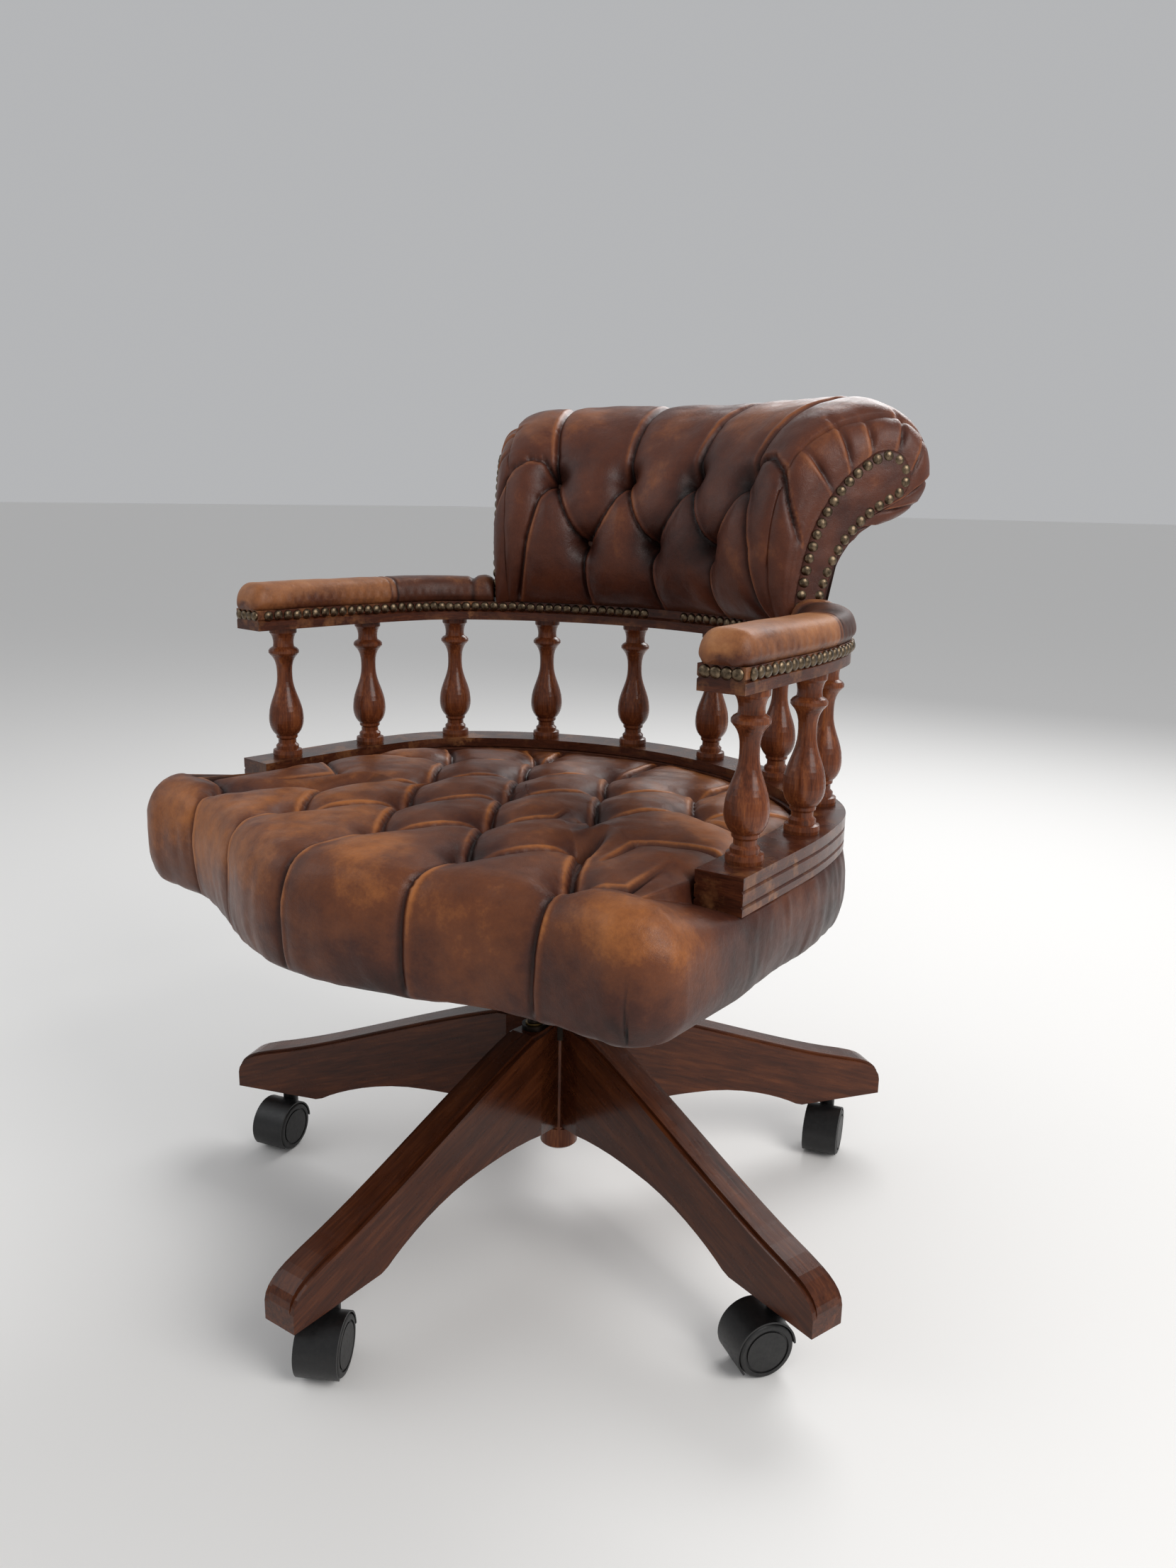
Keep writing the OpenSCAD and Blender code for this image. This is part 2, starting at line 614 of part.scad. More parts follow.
module seat_plate() {
    ear_x = bracket_half_w + ear_gap;
    color("#2b2b2c") at_axis() difference() {
        union() {
            translate([-seat_plate_half[0], -seat_plate_half[1], seat_plate_z])
                cube([2 * seat_plate_half[0], 2 * seat_plate_half[1], seat_plate_t]);
            for (x = [-ear_x - ear_t, ear_x]) {
                translate([x, -16, tilt_pin_z]) cube([ear_t, 32, seat_plate_z - tilt_pin_z + 1]);
                translate([x, 0, tilt_pin_z]) rotate([0, 90, 0]) cylinder(h = ear_t, r = 16);
            }
        }
        translate([-ear_x - ear_t - cut, 0, tilt_pin_z]) rotate([0, 90, 0])
            cylinder(h = 2 * (ear_x + ear_t + cut), r = tilt_pin_d / 2 + running_gap);
        for (p = seat_screw_places) translate([p[0], p[1], seat_plate_z - cut])
            cylinder(h = seat_plate_t + 2 * cut, r = seat_screw_d / 2 + joint_gap);
    }
}

module tension_rod() {
    color("#8a8a86") at_axis() translate([0, -tension_rod_y, knob_z + 2])
        cylinder(h = seat_plate_z - knob_z - 2, d = rod_d);
}

module tension_knob() {
    grips = 8;
    color("#1b1b1c") at_axis() translate([0, -tension_rod_y, knob_z]) difference() {
        cylinder(h = knob_h, d = tension_knob_d);
        translate([0, 0, 2]) cylinder(h = knob_h, r = rod_d / 2 + joint_gap);
        for (i = [1:grips]) rotate(i * 360 / grips)
            translate([tension_knob_d / 2 + 2, 0, -cut]) cylinder(h = knob_h + 2 * cut, d = 8, $fn = 24);
    }
}

module tilt_spring() {
    coils = 5;
    gap = 0.2;
    pitch = (spring_h - spring_wire - 2 * gap) / (coils - 1);
    color("#77777a") at_axis() translate([0, -tension_rod_y, knob_z + knob_h + gap + spring_wire / 2]) union() {
        for (i = [0:coils - 1]) translate([0, 0, i * pitch])
            rotate_extrude($fn = 48) translate([10, 0]) circle(d = spring_wire, $fn = 16);
        rotate(50) translate([10, 0, 0]) cylinder(h = (coils - 1) * pitch, d = spring_wire * 0.7, $fn = 16);
    }
}

module seat_screws() {
    color("#7b6a45") at_axis() for (p = seat_screw_places) translate([p[0], p[1], seat_plate_z]) {
        cylinder(h = seat_plate_t + seat_board_t - 3, d = seat_screw_d);
        translate([0, 0, -3]) cylinder(h = 3, d1 = seat_screw_d, d2 = 2 * seat_screw_d);
    }
}

// ---- Seat ----

module seat_board() {
    color("#a8845a") at_axis() difference() {
        translate([0, 0, seat_board_z]) linear_extrude(seat_board_t) polygon(seat_outline(-seat_leather_t));
        for (p = seat_screw_places) translate([p[0], p[1], seat_board_z - cut])
            cylinder(h = seat_board_t - 2 + cut, r = seat_screw_d / 2 + joint_gap);
    }
}

module seat_frame() {
    color("#8a6238") at_axis() translate([0, 0, seat_frame_z]) difference() {
        linear_extrude(seat_side_top - seat_frame_z + soft_gap) polygon(seat_outline(-seat_leather_t));
        translate([0, 0, -cut]) linear_extrude(lower_rail_top) polygon(seat_outline(-seat_leather_t - seat_frame_w));
    }
}

module seat_cushion() {
    bottom = seat_board_z + 3;
    round = 10;
    frame_top = seat_side_top + soft_gap;
    inner = rail_side(0, lower_rail_len + soft_gap, inner_off);
    front = concat([rail_point(lower_rail_len + soft_gap, inner_off), rail_point(lower_rail_len + soft_gap, seat_side_off)],
        front_side(0));
    slab = concat(inner, [for (i = [1:len(front) - 1]) front[i]]);
    color("#7a4a30") at_axis() difference() {
        union() {
            translate([0, 0, bottom]) linear_extrude(round + cut) polygon(seat_outline(-5));
            translate([0, 0, bottom + round]) linear_extrude(seat_side_top - bottom - round) polygon(seat_outline(0));
            translate([0, 0, seat_side_top - cut]) linear_extrude(seat_top - 16 - seat_side_top + cut)
                polygon(concat(slab, mirrored(slab)));
            translate([0, 0, seat_top - 17]) linear_extrude(17)
                polygon(concat(rail_side(0, lower_rail_len, inner_off - 14), front_side(-28),
                    mirrored(concat(rail_side(0, lower_rail_len, inner_off - 14), front_side(-28)))));
        }
        translate([0, 0, seat_board_z - cut]) linear_extrude(seat_frame_z - seat_board_z + cut)
            polygon(seat_outline(-seat_leather_t + soft_gap));
        difference() {
            translate([0, 0, seat_frame_z - cut]) linear_extrude(frame_top - seat_frame_z + soft_gap + cut)
                polygon(seat_outline(-seat_leather_t + soft_gap));
            linear_extrude(seat_top) polygon(seat_outline(-seat_leather_t - seat_frame_w - soft_gap));
        }
        for (row = [0:len(tuft_rows) - 1]) for (col = tuft_rows[row]) translate(concat(tuft_place(row, col), seat_top - tuft_depth))
            cylinder(h = tuft_depth + cut, r = button_d / 2 + soft_gap);
    }
}

module button() {
    cylinder(h = button_h - 2, d = button_d);
    translate([0, 0, button_h - 2]) cylinder(h = 2, d1 = button_d, d2 = button_d - 6);
}

module seat_buttons() {
    color("#5a3322") at_axis() for (row = [0:len(tuft_rows) - 1]) for (col = tuft_rows[row])
        translate(concat(tuft_place(row, col), seat_top - tuft_depth)) button();
}

// ---- Rails and spindles ----

module grooved_profile(width, height, grooves) {
    difference() {
        translate([-width / 2, 0]) square([width, height]);
        for (y = grooves) for (x = [-width / 2, width / 2]) translate([x, y]) rotate(45)
            square(rail_groove * sqrt(2), center = true);
    }
}

module spindle_holes(z, off) {
    both_sides() for (i = [0:spindles_per_side - 1]) translate(concat(rail_point(spindle_s(i)), z))
        cylinder(h = tenon_h + 1 + off, r = tenon_d / 2 + joint_gap);
}

module lower_rail() {
    color("#4a2416") at_axis() difference() {
        both_sides() along_side(lower_rail_len) translate([0, lower_rail_z])
            grooved_profile(lower_rail_w, lower_rail_h, [lower_rail_h * 0.24, lower_rail_h * 0.64]);
        spindle_holes(lower_rail_top - tenon_h - 1, cut);
    }
}

module upper_rail() {
    color("#4a2416") at_axis() difference() {
        both_sides() along_side(upper_rail_len) translate([-upper_rail_inset, upper_rail_z])
            grooved_profile(upper_rail_w, upper_rail_h, [upper_rail_h * 0.5]);
        spindle_holes(upper_rail_z - cut, 0);
    }
}

module spindle_profile() {
    r = spindle_d / 2;
    k = spindle_h / 133.5;
    polygon(concat(
        [[0, -tenon_h], [tenon_d / 2, -tenon_h], [tenon_d / 2, 0], [r * 0.83, 0], [r * 0.86, 3 * k],
            [r * 0.83, 7 * k], [r * 0.66, 8 * k], [r * 0.66, 11.5 * k], [r * 0.52, 14 * k], [r * 0.52, 18 * k],
            [r * 0.62, 20 * k]],
        curve([r * 0.62, 22.5 * k], [r * 0.9, 27 * k], [r, 33 * k], [r, 39 * k], 6),
        curve([r * 0.99, 43 * k], [r * 0.95, 58 * k], [r * 0.44, 68 * k], [r * 0.44, 83.5 * k], 8),
        curve([r * 0.44, 88 * k], [r * 0.44, 98 * k], [r * 0.62, 103 * k], [r * 0.78, 105.5 * k], 5),
        [[r * 0.87, 107.5 * k], [r * 0.87, 110 * k], [r * 0.78, 112 * k], [r * 0.6, 114 * k]],
        curve([r * 0.58, 117 * k], [r * 0.58, 121 * k], [r * 0.64, 126 * k], [r * 0.78, 128 * k], 4),
        [[r * 0.79, 133.5 * k], [tenon_d / 2, spindle_h], [tenon_d / 2, spindle_h + tenon_h], [0, spindle_h + tenon_h]]));
}

module spindles() {
    color("#4f2717") at_axis() both_sides() for (i = [0:spindles_per_side - 1])
        translate(concat(rail_point(spindle_s(i)), lower_rail_top)) rotate_extrude($fn = 40) spindle_profile();
}

// ---- Arms and back ----

pad_half = upper_rail_w / 2 + arm_pad_bulge;
pad_right = [[pad_half - 4, 0], [pad_half, 0.35], [pad_half, 0.6], [pad_half - 5, 0.86], [pad_half - 12, 1]];
pad_section = [for (p = concat(pad_right, mirrored(pad_right)))
    [p[0] - upper_rail_inset, upper_rail_top + 0.1 + p[1] * arm_pad_h]];

// Carries a closed section of points, [offset outwards, height], along the rails between two lengths
module swept(section, from, to) {
    n = len(section);
    rings = ceil((to - from) / rail_step);
    points = [for (i = [0:rings]) for (p = section) concat(rail_point(from + (to - from) * i / rings, p[0]), p[1])];
    sides = [for (i = [0:rings - 1]) for (j = [0:n - 1]) let (a = i * n + j, b = i * n + (j + 1) % n)
        each [[a, b, b + n], [a, b + n, a + n]]];
    ends = [[for (j = [n - 1:-1:0]) j], [for (j = [0:n - 1]) rings * n + j]];
    polyhedron(points, concat(sides, ends), convexity = 4);
}

// Angle along the rails that a length takes up at the back's radius
function back_angle(length) = length / back_r * 180 / PI;
function back_length(angle) = back_r * angle * PI / 180;

module arm_pad_right() {
    color("#9a6238") at_axis() swept(pad_section, back_length(back_half_turn) + nail_h + 2 * soft_gap, upper_rail_len + arm_pad_bulge);
}

module arm_pad_left() {
    color("#9a6238") at_axis() mirror([1, 0, 0])
        swept(pad_section, back_length(back_half_turn) + nail_h + 2 * soft_gap, upper_rail_len + arm_pad_bulge);
}

module nail_head() {
    cylinder(h = nail_h, d1 = nail_d, d2 = nail_d - 4, $fn = 24);
}

nail_h = 2.6;
nail_side = upper_rail_w / 2;
nail_z = upper_rail_top - nail_d / 2 - 0.4;
outer_nails = floor((upper_rail_len - nail_pitch / 2) / nail_pitch);

module rail_nails() {
    color("#6b5a3a") at_axis() {
        for (i = [0:outer_nails]) both_sides() {
            s = (i + 0.5) * nail_pitch;
            if (s < upper_rail_len - nail_d / 2) {
                translate(concat(rail_point(s, nail_side - upper_rail_inset), nail_z))
                    rotate([0, 90, 90 - heading(s)]) nail_head();
                if (s > 26) translate(concat(rail_point(s, -nail_side - upper_rail_inset), nail_z))
                    rotate([0, -90, 90 - heading(s)]) nail_head();
            }
        }
        for (x = [-1.5:1:1.5]) both_sides()
            translate(concat(rail_point(upper_rail_len, x * nail_pitch * 0.8 - upper_rail_inset), nail_z))
                rotate([0, 90, -heading_3]) nail_head();
    }
}

module back_section(points) {
    translate([0, upper_rail_top]) polygon(points);
}

// Carries a cross-section around the back, stopping short of each end by a length
module around_back(short) {
    turn = back_half_turn - back_angle(short);
    translate(back_centre) rotate(90 - turn) rotate_extrude(angle = 2 * turn, $fn = 180)
        translate([back_r, 0]) children();
}

module back_core() {
    color("#8a6238") at_axis() around_back(panel_t + 2 * panel_gap) back_section(core_outline(0));
}

module back_cushion() {
    color("#6f4029") at_axis() difference() {
        for (i = [0:end_steps]) around_back(end_length * i / end_steps)
            back_section([for (j = [0:len(end_outer) - 1])
                end_outer[j] + (middle_outer[j] - end_outer[j]) * sin(90 * i / end_steps)]);
        around_back(panel_t + panel_gap) back_section(core_outline(core_gap));
        both_sides() translate(back_centre) rotate(90 - back_half_turn - 1)
            rotate_extrude(angle = back_angle(panel_t + panel_gap) + 1, $fn = 180)
                translate([back_r, 0]) back_section(panel_outline(panel_edge + panel_gap, -1));
        for (b = back_button_places) at_back_button(b[0], b[1]) cylinder(h = 60, r = button_d / 2 + soft_gap);
    }
}

module back_end_panels() {
    color("#6f4029") at_axis() both_sides() translate(back_centre) rotate(90 - back_half_turn)
        rotate_extrude(angle = back_angle(panel_t), $fn = 180)
            translate([back_r, 0]) back_section(panel_outline(panel_edge));
}

// A button's place on the back: its angle from the middle and its height above the upper rail
back_button_places = [[-25, 134], [-8.5, 134], [8.5, 134], [25, 134], [-17, 64], [0, 64], [17, 64]];
back_button_out = [-30, -12];               // outward places of the lower and the upper row's buttons
module at_back_button(turn, z) {
    out = back_button_out[z > back_h / 2 ? 1 : 0];
    translate(concat(back_centre, 0)) rotate(90 - turn) translate([back_r + out, 0, upper_rail_top + z])
        rotate([0, -90, 0]) children();
}

module back_buttons() {
    color("#5a3322") at_axis() for (b = back_button_places) at_back_button(b[0], b[1]) button();
}

panel_nail_line = panel_outline(-1.5);

module back_nails() {
    sums = lengths(panel_nail_line);
    total = sums[len(sums) - 1];
    count = floor((total - nail_d) / nail_pitch);
    color("#6b5a3a") at_axis() both_sides() translate(concat(back_centre, upper_rail_top)) rotate(90 - back_half_turn)
        for (i = [0:count]) let (p = line_point(panel_nail_line, sums, nail_d / 2 + 1 + i * nail_pitch))
            translate([back_r + p[0], 0, p[1]]) rotate([90, 0, 0]) nail_head();
}

centre_post();
leg_1();
leg_2();
leg_3();
leg_4();
leg_5();
hub_spider();
leg_bolts();
leg_washers();
caster_sockets();
caster_1_hood();
caster_1_stem();
caster_1_axle();
caster_1_wheel_left();
caster_1_wheel_right();
caster_2_hood();
caster_2_stem();
caster_2_axle();
caster_2_wheel_left();
caster_2_wheel_right();
caster_3_hood();
caster_3_stem();
caster_3_axle();
caster_3_wheel_left();
caster_3_wheel_right();
caster_4_hood();
caster_4_stem();
caster_4_axle();
caster_4_wheel_left();
caster_4_wheel_right();
caster_5_hood();
caster_5_stem();
caster_5_axle();
caster_5_wheel_left();
caster_5_wheel_right();
thrust_washer();
height_nut();
screw_spindle();
tilt_bracket();
tilt_pin();
seat_plate();
tension_rod();
tension_knob();
tilt_spring();
seat_screws();
seat_board();
seat_frame();
seat_cushion();
seat_buttons();
lower_rail();
spindles();
upper_rail();
arm_pad_left();
arm_pad_right();
rail_nails();
back_core();
back_cushion();
back_end_panels();
back_buttons();
back_nails();
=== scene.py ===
import math
import bpy
import numpy as np
from mathutils import Matrix, Vector


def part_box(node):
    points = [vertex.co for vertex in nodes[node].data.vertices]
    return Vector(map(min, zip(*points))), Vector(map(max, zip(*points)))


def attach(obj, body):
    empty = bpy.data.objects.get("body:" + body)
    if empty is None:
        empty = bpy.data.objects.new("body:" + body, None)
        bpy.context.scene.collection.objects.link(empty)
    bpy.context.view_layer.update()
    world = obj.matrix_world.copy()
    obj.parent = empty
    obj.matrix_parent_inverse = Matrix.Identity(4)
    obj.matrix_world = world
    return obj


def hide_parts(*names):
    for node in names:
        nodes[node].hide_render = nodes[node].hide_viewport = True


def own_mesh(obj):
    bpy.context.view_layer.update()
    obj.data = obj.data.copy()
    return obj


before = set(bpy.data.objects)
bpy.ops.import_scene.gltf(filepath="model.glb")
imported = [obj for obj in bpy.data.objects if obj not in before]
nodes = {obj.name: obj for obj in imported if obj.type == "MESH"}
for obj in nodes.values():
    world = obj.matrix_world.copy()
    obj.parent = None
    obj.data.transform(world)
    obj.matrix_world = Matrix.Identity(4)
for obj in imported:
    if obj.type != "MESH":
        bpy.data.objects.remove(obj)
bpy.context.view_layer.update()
scene = bpy.context.scene

# ---- Camera ----
yaw, pitch, roll = math.radians(38.64), math.radians(13.45), math.radians(1.06)
ahead = np.array([-math.sin(yaw) * math.cos(pitch), math.cos(yaw) * math.cos(pitch), -math.sin(pitch)])
right = np.array([math.cos(yaw), math.sin(yaw), 0.0])
up = np.cross(right, ahead)
right, up = (math.cos(roll) * right + math.sin(roll) * up, -math.sin(roll) * right + math.cos(roll) * up)
camera = bpy.data.objects.new("camera", bpy.data.cameras.new("camera"))
camera.data.sensor_fit = "VERTICAL"
camera.data.sensor_height = 36
camera.data.lens = 27.44
camera.data.clip_start = 0.05
m = np.eye(4)
m[:3, 0], m[:3, 1], m[:3, 2], m[:3, 3] = right, up, -ahead, (0.7207, -0.8459, 0.7107)
camera.matrix_world = Matrix(m.tolist())
scene.collection.objects.link(camera)
scene.camera = camera

# ---- Sizes, in metres, in the chair's own plan: the swivel axis at 0, 0 ----
AX, AY = -0.006, 0.025
BACK_Y, BACK_R, CORNER_R, ARM_R = 0.185, 0.320, 0.121, 0.462
TURN_1, TURN_2, TURN_3 = math.radians(45), math.radians(75), math.radians(86)
ARC_1 = BACK_R * TURN_1
ARC_2 = ARC_1 + CORNER_R * math.radians(30)
ARC_3 = ARC_2 + ARM_R * math.radians(11)
LOWER_LEN, UPPER_LEN = 0.509, 0.512
LOWER_TOP, LOWER_Z = 0.4446, 0.4146
UPPER_TOP = 0.5981
INSET = 0.004
HALF_TURN = math.radians(38)
BACK_LEN = BACK_R * HALF_TURN


def out_dir(h):
    """Outward direction in plan at a heading."""
    return np.stack([np.sin(h), np.cos(h)], -1)


def on_dir(h):
    """Direction in plan along the rail at a heading."""
    return np.stack([np.cos(h), -np.sin(h)], -1)


BACK_C = np.array([0.0, BACK_Y - BACK_R])
CORNER_C = BACK_C + (BACK_R - CORNER_R) * out_dir(TURN_1)
ARM_C = CORNER_C + (CORNER_R - ARM_R) * out_dir(TURN_2)
STRAIGHT = ARM_C + ARM_R * out_dir(TURN_3)


def heading(s):
    """How far the rail has turned at a length from the middle of the back: three arcs, then straight."""
    s = np.asarray(s, float)
    return np.where(s < ARC_1, s / BACK_R, np.where(s < ARC_2, TURN_1 + (s - ARC_1) / CORNER_R,
                    np.where(s < ARC_3, TURN_2 + (s - ARC_2) / ARM_R, TURN_3)))


def rail(s, off=0.0):
    """Points in plan along the right half of the rails, at offsets outwards from their middle."""
    s = np.asarray(s, float)
    off = np.broadcast_to(np.asarray(off, float), s.shape)[..., None]
    h = heading(s)
    o = out_dir(h)
    arc = np.where((s < ARC_1)[..., None], BACK_C + (BACK_R + off) * o,
                   np.where((s < ARC_2)[..., None], CORNER_C + (CORNER_R + off) * o,
                            ARM_C + (ARM_R + off) * o))
    line = STRAIGHT + np.maximum(s - ARC_3, 0)[..., None] * on_dir(h) + off * o
    return np.where((s < ARC_3)[..., None], arc, line)


def smooth(x, a, b):
    t = np.clip((np.asarray(x, float) - a) / (b - a), 0, 1)
    return t * t * (3 - 2 * t)


def waves(p, scale, seed, octaves=3):
    """A gentle, repeatable ripple of about -1 to 1 over points of any dimension."""
    rng = np.random.default_rng(seed)
    total = np.zeros(p.shape[:-1])
    size = 1.0
    norm = 0.0
    for _ in range(octaves):
        for _ in range(5):
            d = rng.normal(size=p.shape[-1])
            d /= np.linalg.norm(d)
            turns = (p @ d) * 2 * math.pi * scale * rng.uniform(0.7, 1.4)
            total += size * np.sin(turns + rng.uniform(0, 6.28))
            norm += size
        size *= 0.5
        scale *= 2.1
    return total / norm * 2


# ---- Mesh making ----
def make(name, verts, faces, body, material, wear_and_shade=None, replaced=()):
    """A piece on a body, given in the chair's own plan; the per-point value sets its leather's colour level:
    wear and mottling, with painted shade in folds and painted highlights on fold lips.
    """
    mesh = bpy.data.meshes.new(name)
    verts = np.asarray(verts, float).copy()
    verts[:, 0] += AX
    verts[:, 1] += AY
    mesh.from_pydata(verts.tolist(), [], [tuple(int(i) for i in f) for f in faces])
    mesh.polygons.foreach_set("use_smooth", [True] * len(mesh.polygons))
    if wear_and_shade is not None:
        a = mesh.attributes.new("wear_and_shade", "FLOAT", "POINT")
        a.data.foreach_set("value", np.asarray(wear_and_shade, np.float32))
    mesh.update()
    o = bpy.data.objects.new(name, mesh)
    scene.collection.objects.link(o)
    mesh.materials.append(material)
    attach(o, body)
    if replaced:
        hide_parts(*replaced)
    return o


def sheet_faces(n, k, wrap_n=False, wrap_k=False):
    """Quads of a grid of n rows of k points."""
    i = np.arange(n if wrap_n else n - 1)
    j = np.arange(k if wrap_k else k - 1)
    i, j = np.meshgrid(i, j, indexing="ij")
    i2, j2 = (i + 1) % n, (j + 1) % k
    return np.stack([i * k + j, i2 * k + j, i2 * k + j2, i * k + j2], -1).reshape(-1, 4)


def grid_normals(p, wrap_n=False, wrap_k=False):
    """Unit normals of a grid of points."""
    def slope(axis, wrap):
        if wrap:
            return np.roll(p, -1, axis) - np.roll(p, 1, axis)
        return np.gradient(p, axis=axis)
    n = np.cross(slope(0, wrap_n), slope(1, wrap_k))
    return n / np.maximum(np.linalg.norm(n, axis=-1, keepdims=True), 1e-9)


def resample(points, n, closed=False):
    p = np.asarray(points, float)
    if closed:
        p = np.vstack([p, p[:1]])
    d = np.concatenate([[0], np.cumsum(np.linalg.norm(np.diff(p, axis=0), axis=1))])
    t = np.linspace(0, d[-1], n + 1)[:-1] if closed else np.linspace(0, d[-1], n)
    return np.stack([np.interp(t, d, p[:, i]) for i in range(p.shape[1])], -1)


def relax(points, times):
    p = np.asarray(points, float).copy()
    for _ in range(times):
        p[1:-1] = 0.5 * p[1:-1] + 0.25 * (p[:-2] + p[2:])
    return p


def bezier(a, b, c, d, n):
    t = np.linspace(0, 1, n + 1)[:, None]
    u = 1 - t
    return (u ** 3 * np.array(a) + 3 * u * u * t * np.array(b) + 3 * u * t * t * np.array(c)
            + t ** 3 * np.array(d))


def creases(points, segments):
    """Sewn folds at plan points: how deep they draw the leather in, their line, the lip along one side of it,
    and how far it is to the nearest. A segment is (start, end, depth and width at its start and at its end)."""
    total = np.zeros(points.shape[:-1])
    line, lip, near = total.copy(), total.copy(), total + 1e3
    for a, b, d0, w0, d1, w1 in segments:
        a, b = np.array(a, float), np.array(b, float)
        ab = b - a
        t = np.clip(((points - a) @ ab) / max(ab @ ab, 1e-12), 0, 1)
        away = points - a - t[..., None] * ab
        dist = np.linalg.norm(away, axis=-1)
        side = ab[0] * away[..., 1] - ab[1] * away[..., 0] > 0
        depth = d0 + (d1 - d0) * t
        u = np.clip(dist / (w0 + (w1 - w0) * t), 0, 1)
        total += (depth * (1 - u) ** 2.4) ** 4
        cut = np.clip(depth / 0.003, 0, 1)
        line = np.maximum(line, cut * np.exp(-(dist / 0.0024) ** 2))
        lip = np.maximum(lip, cut * side * np.exp(-((dist - 0.0050) / 0.0028) ** 2))
        near = np.minimum(near, dist + (1 - cut) * 0.05)
    return total ** 0.25 + 0.0028 * line - 0.0014 * lip, line, lip, near


def folded(a, b, deep, mid, wide, wide_mid=None, bow=0.0):
    """A fold between two buttons: deep at both ends, shallower half-way, and bowed to one side."""
    a, b = np.array(a, float), np.array(b, float)
    wm = wide if wide_mid is None else wide_mid
    d = b - a
    turned = np.array([d[1], -d[0]])
    pts = [a + d * t + turned * bow * 4 * t * (1 - t) for t in (0, 0.17, 0.34, 0.5, 0.66, 0.83, 1)]
    lev = [1, 0.45, 0.12, 0, 0.12, 0.45, 1]
    depths = [mid + (deep - mid) * v for v in lev]
    widths = [wm + (wide - wm) * v for v in lev]
    return path(pts, depths, widths)


def path(points, depths, widths):
    """A fold along several points."""
    return [(points[i], points[i + 1], depths[i], widths[i], depths[i + 1], widths[i + 1])
            for i in range(len(points) - 1)]


# ---- Materials ----
def rgb(r, g, b):
    def lin(v):
        v /= 255
        return v / 12.92 if v <= 0.04045 else ((v + 0.055) / 1.055) ** 2.4
    return (lin(r), lin(g), lin(b), 1)


def material(name):
    mat = bpy.data.materials.new(name)
    mat.use_nodes = True
    tree = mat.node_tree
    shader = tree.nodes["Principled BSDF"]
    return mat, tree, shader


def add(tree, kind, **values):
    n = tree.nodes.new(kind)
    for k, v in values.items():
        setattr(n, k, v)
    return n


def ramp(tree, stops, source):
    n = tree.nodes.new("ShaderNodeValToRGB")
    e = n.color_ramp.elements
    e[0].position, e[0].color = stops[0]
    e[1].position, e[1].color = stops[-1]
    for p, c in stops[1:-1]:
        e.new(p).color = c
    tree.links.new(source, n.inputs["Fac"])
    return n


def math_node(tree, op, a, b, clamp=False):
    n = tree.nodes.new("ShaderNodeMath")
    n.operation = op
    n.use_clamp = clamp
    for i, v in enumerate((a, b)):
        if isinstance(v, (int, float)):
            n.inputs[i].default_value = v
        elif v is not None:
            tree.links.new(v, n.inputs[i])
    return n.outputs[0]


def noise(tree, coord, scale, detail=4.0, rough=0.55, distortion=0.0):
    n = tree.nodes.new("ShaderNodeTexNoise")
    n.inputs["Scale"].default_value = scale
    n.inputs["Detail"].default_value = detail
    n.inputs["Roughness"].default_value = rough
    n.inputs["Distortion"].default_value = distortion
    tree.links.new(coord, n.inputs["Vector"])
    return n.outputs["Fac"]


def bump(tree, height, strength, distance, normal=None):
    n = tree.nodes.new("ShaderNodeBump")
    n.inputs["Strength"].default_value = strength
    n.inputs["Distance"].default_value = distance
    tree.links.new(height, n.inputs["Height"])
    if normal is not None:
        tree.links.new(normal, n.inputs["Normal"])
    return n.outputs["Normal"]


def coords(tree, scale=(1, 1, 1), rotation=(0, 0, 0)):
    t = tree.nodes.new("ShaderNodeTexCoord")
    if scale == (1, 1, 1) and rotation == (0, 0, 0):
        return t.outputs["Object"]
    mp = tree.nodes.new("ShaderNodeMapping")
    mp.vector_type = "TEXTURE"
    mp.inputs["Scale"].default_value = [1 / v for v in scale]
    mp.inputs["Rotation"].default_value = rotation
    tree.links.new(t.outputs["Object"], mp.inputs["Vector"])
    return mp.outputs["Vector"]


def spread(tree, value, width):
    """A texture's value as a change about zero."""
    return math_node(tree, "MULTIPLY", math_node(tree, "SUBTRACT", value, 0.5), width)


def leather(name, dark, mid, light, crown, rough=0.42):
    """Antique leather coloured by a per-point level: painted shade darkens its folds, and its crowns are
    lighter, partly wear and partly painted highlight.
    """
    mat, tree, shader = material(name)
    c = coords(tree)
    # The per-point level holds wear and mottling together with painted shade and painted highlights
    wear_and_shade = add(tree, "ShaderNodeAttribute", attribute_name="wear_and_shade").outputs["Fac"]
    cloud = noise(tree, c, 16, 5, 0.6, 0.4)
    mottle = noise(tree, c, 70, 4, 0.6)
    fine = noise(tree, c, 420, 3, 0.6)
    v = math_node(tree, "ADD", wear_and_shade, spread(tree, cloud, 0.75))
    v = math_node(tree, "ADD", v, spread(tree, mottle, 0.4))
    v = math_node(tree, "ADD", v, spread(tree, fine, 0.18), True)
    colour = ramp(tree, [(0.0, dark), (0.36, mid), (0.68, light), (1.0, crown)], v)
    tree.links.new(colour.outputs["Color"], shader.inputs["Base Color"])
    cells = add(tree, "ShaderNodeTexVoronoi", feature="DISTANCE_TO_EDGE")
    cells.inputs["Scale"].default_value = 620
    tree.links.new(c, cells.inputs["Vector"])
    pores = math_node(tree, "MINIMUM", cells.outputs["Distance"], 0.12)
    wrinkle = noise(tree, c, 130, 6, 0.62, 0.6)
    n = bump(tree, pores, 0.35, 0.0012)
    n = bump(tree, wrinkle, 0.3, 0.0016, n)
    tree.links.new(n, shader.inputs["Normal"])
    r = math_node(tree, "ADD", math_node(tree, "MULTIPLY", wrinkle, 0.22), rough - 0.11)
    tree.links.new(r, shader.inputs["Roughness"])
    shader.inputs["Specular IOR Level"].default_value = 0.28
    return mat


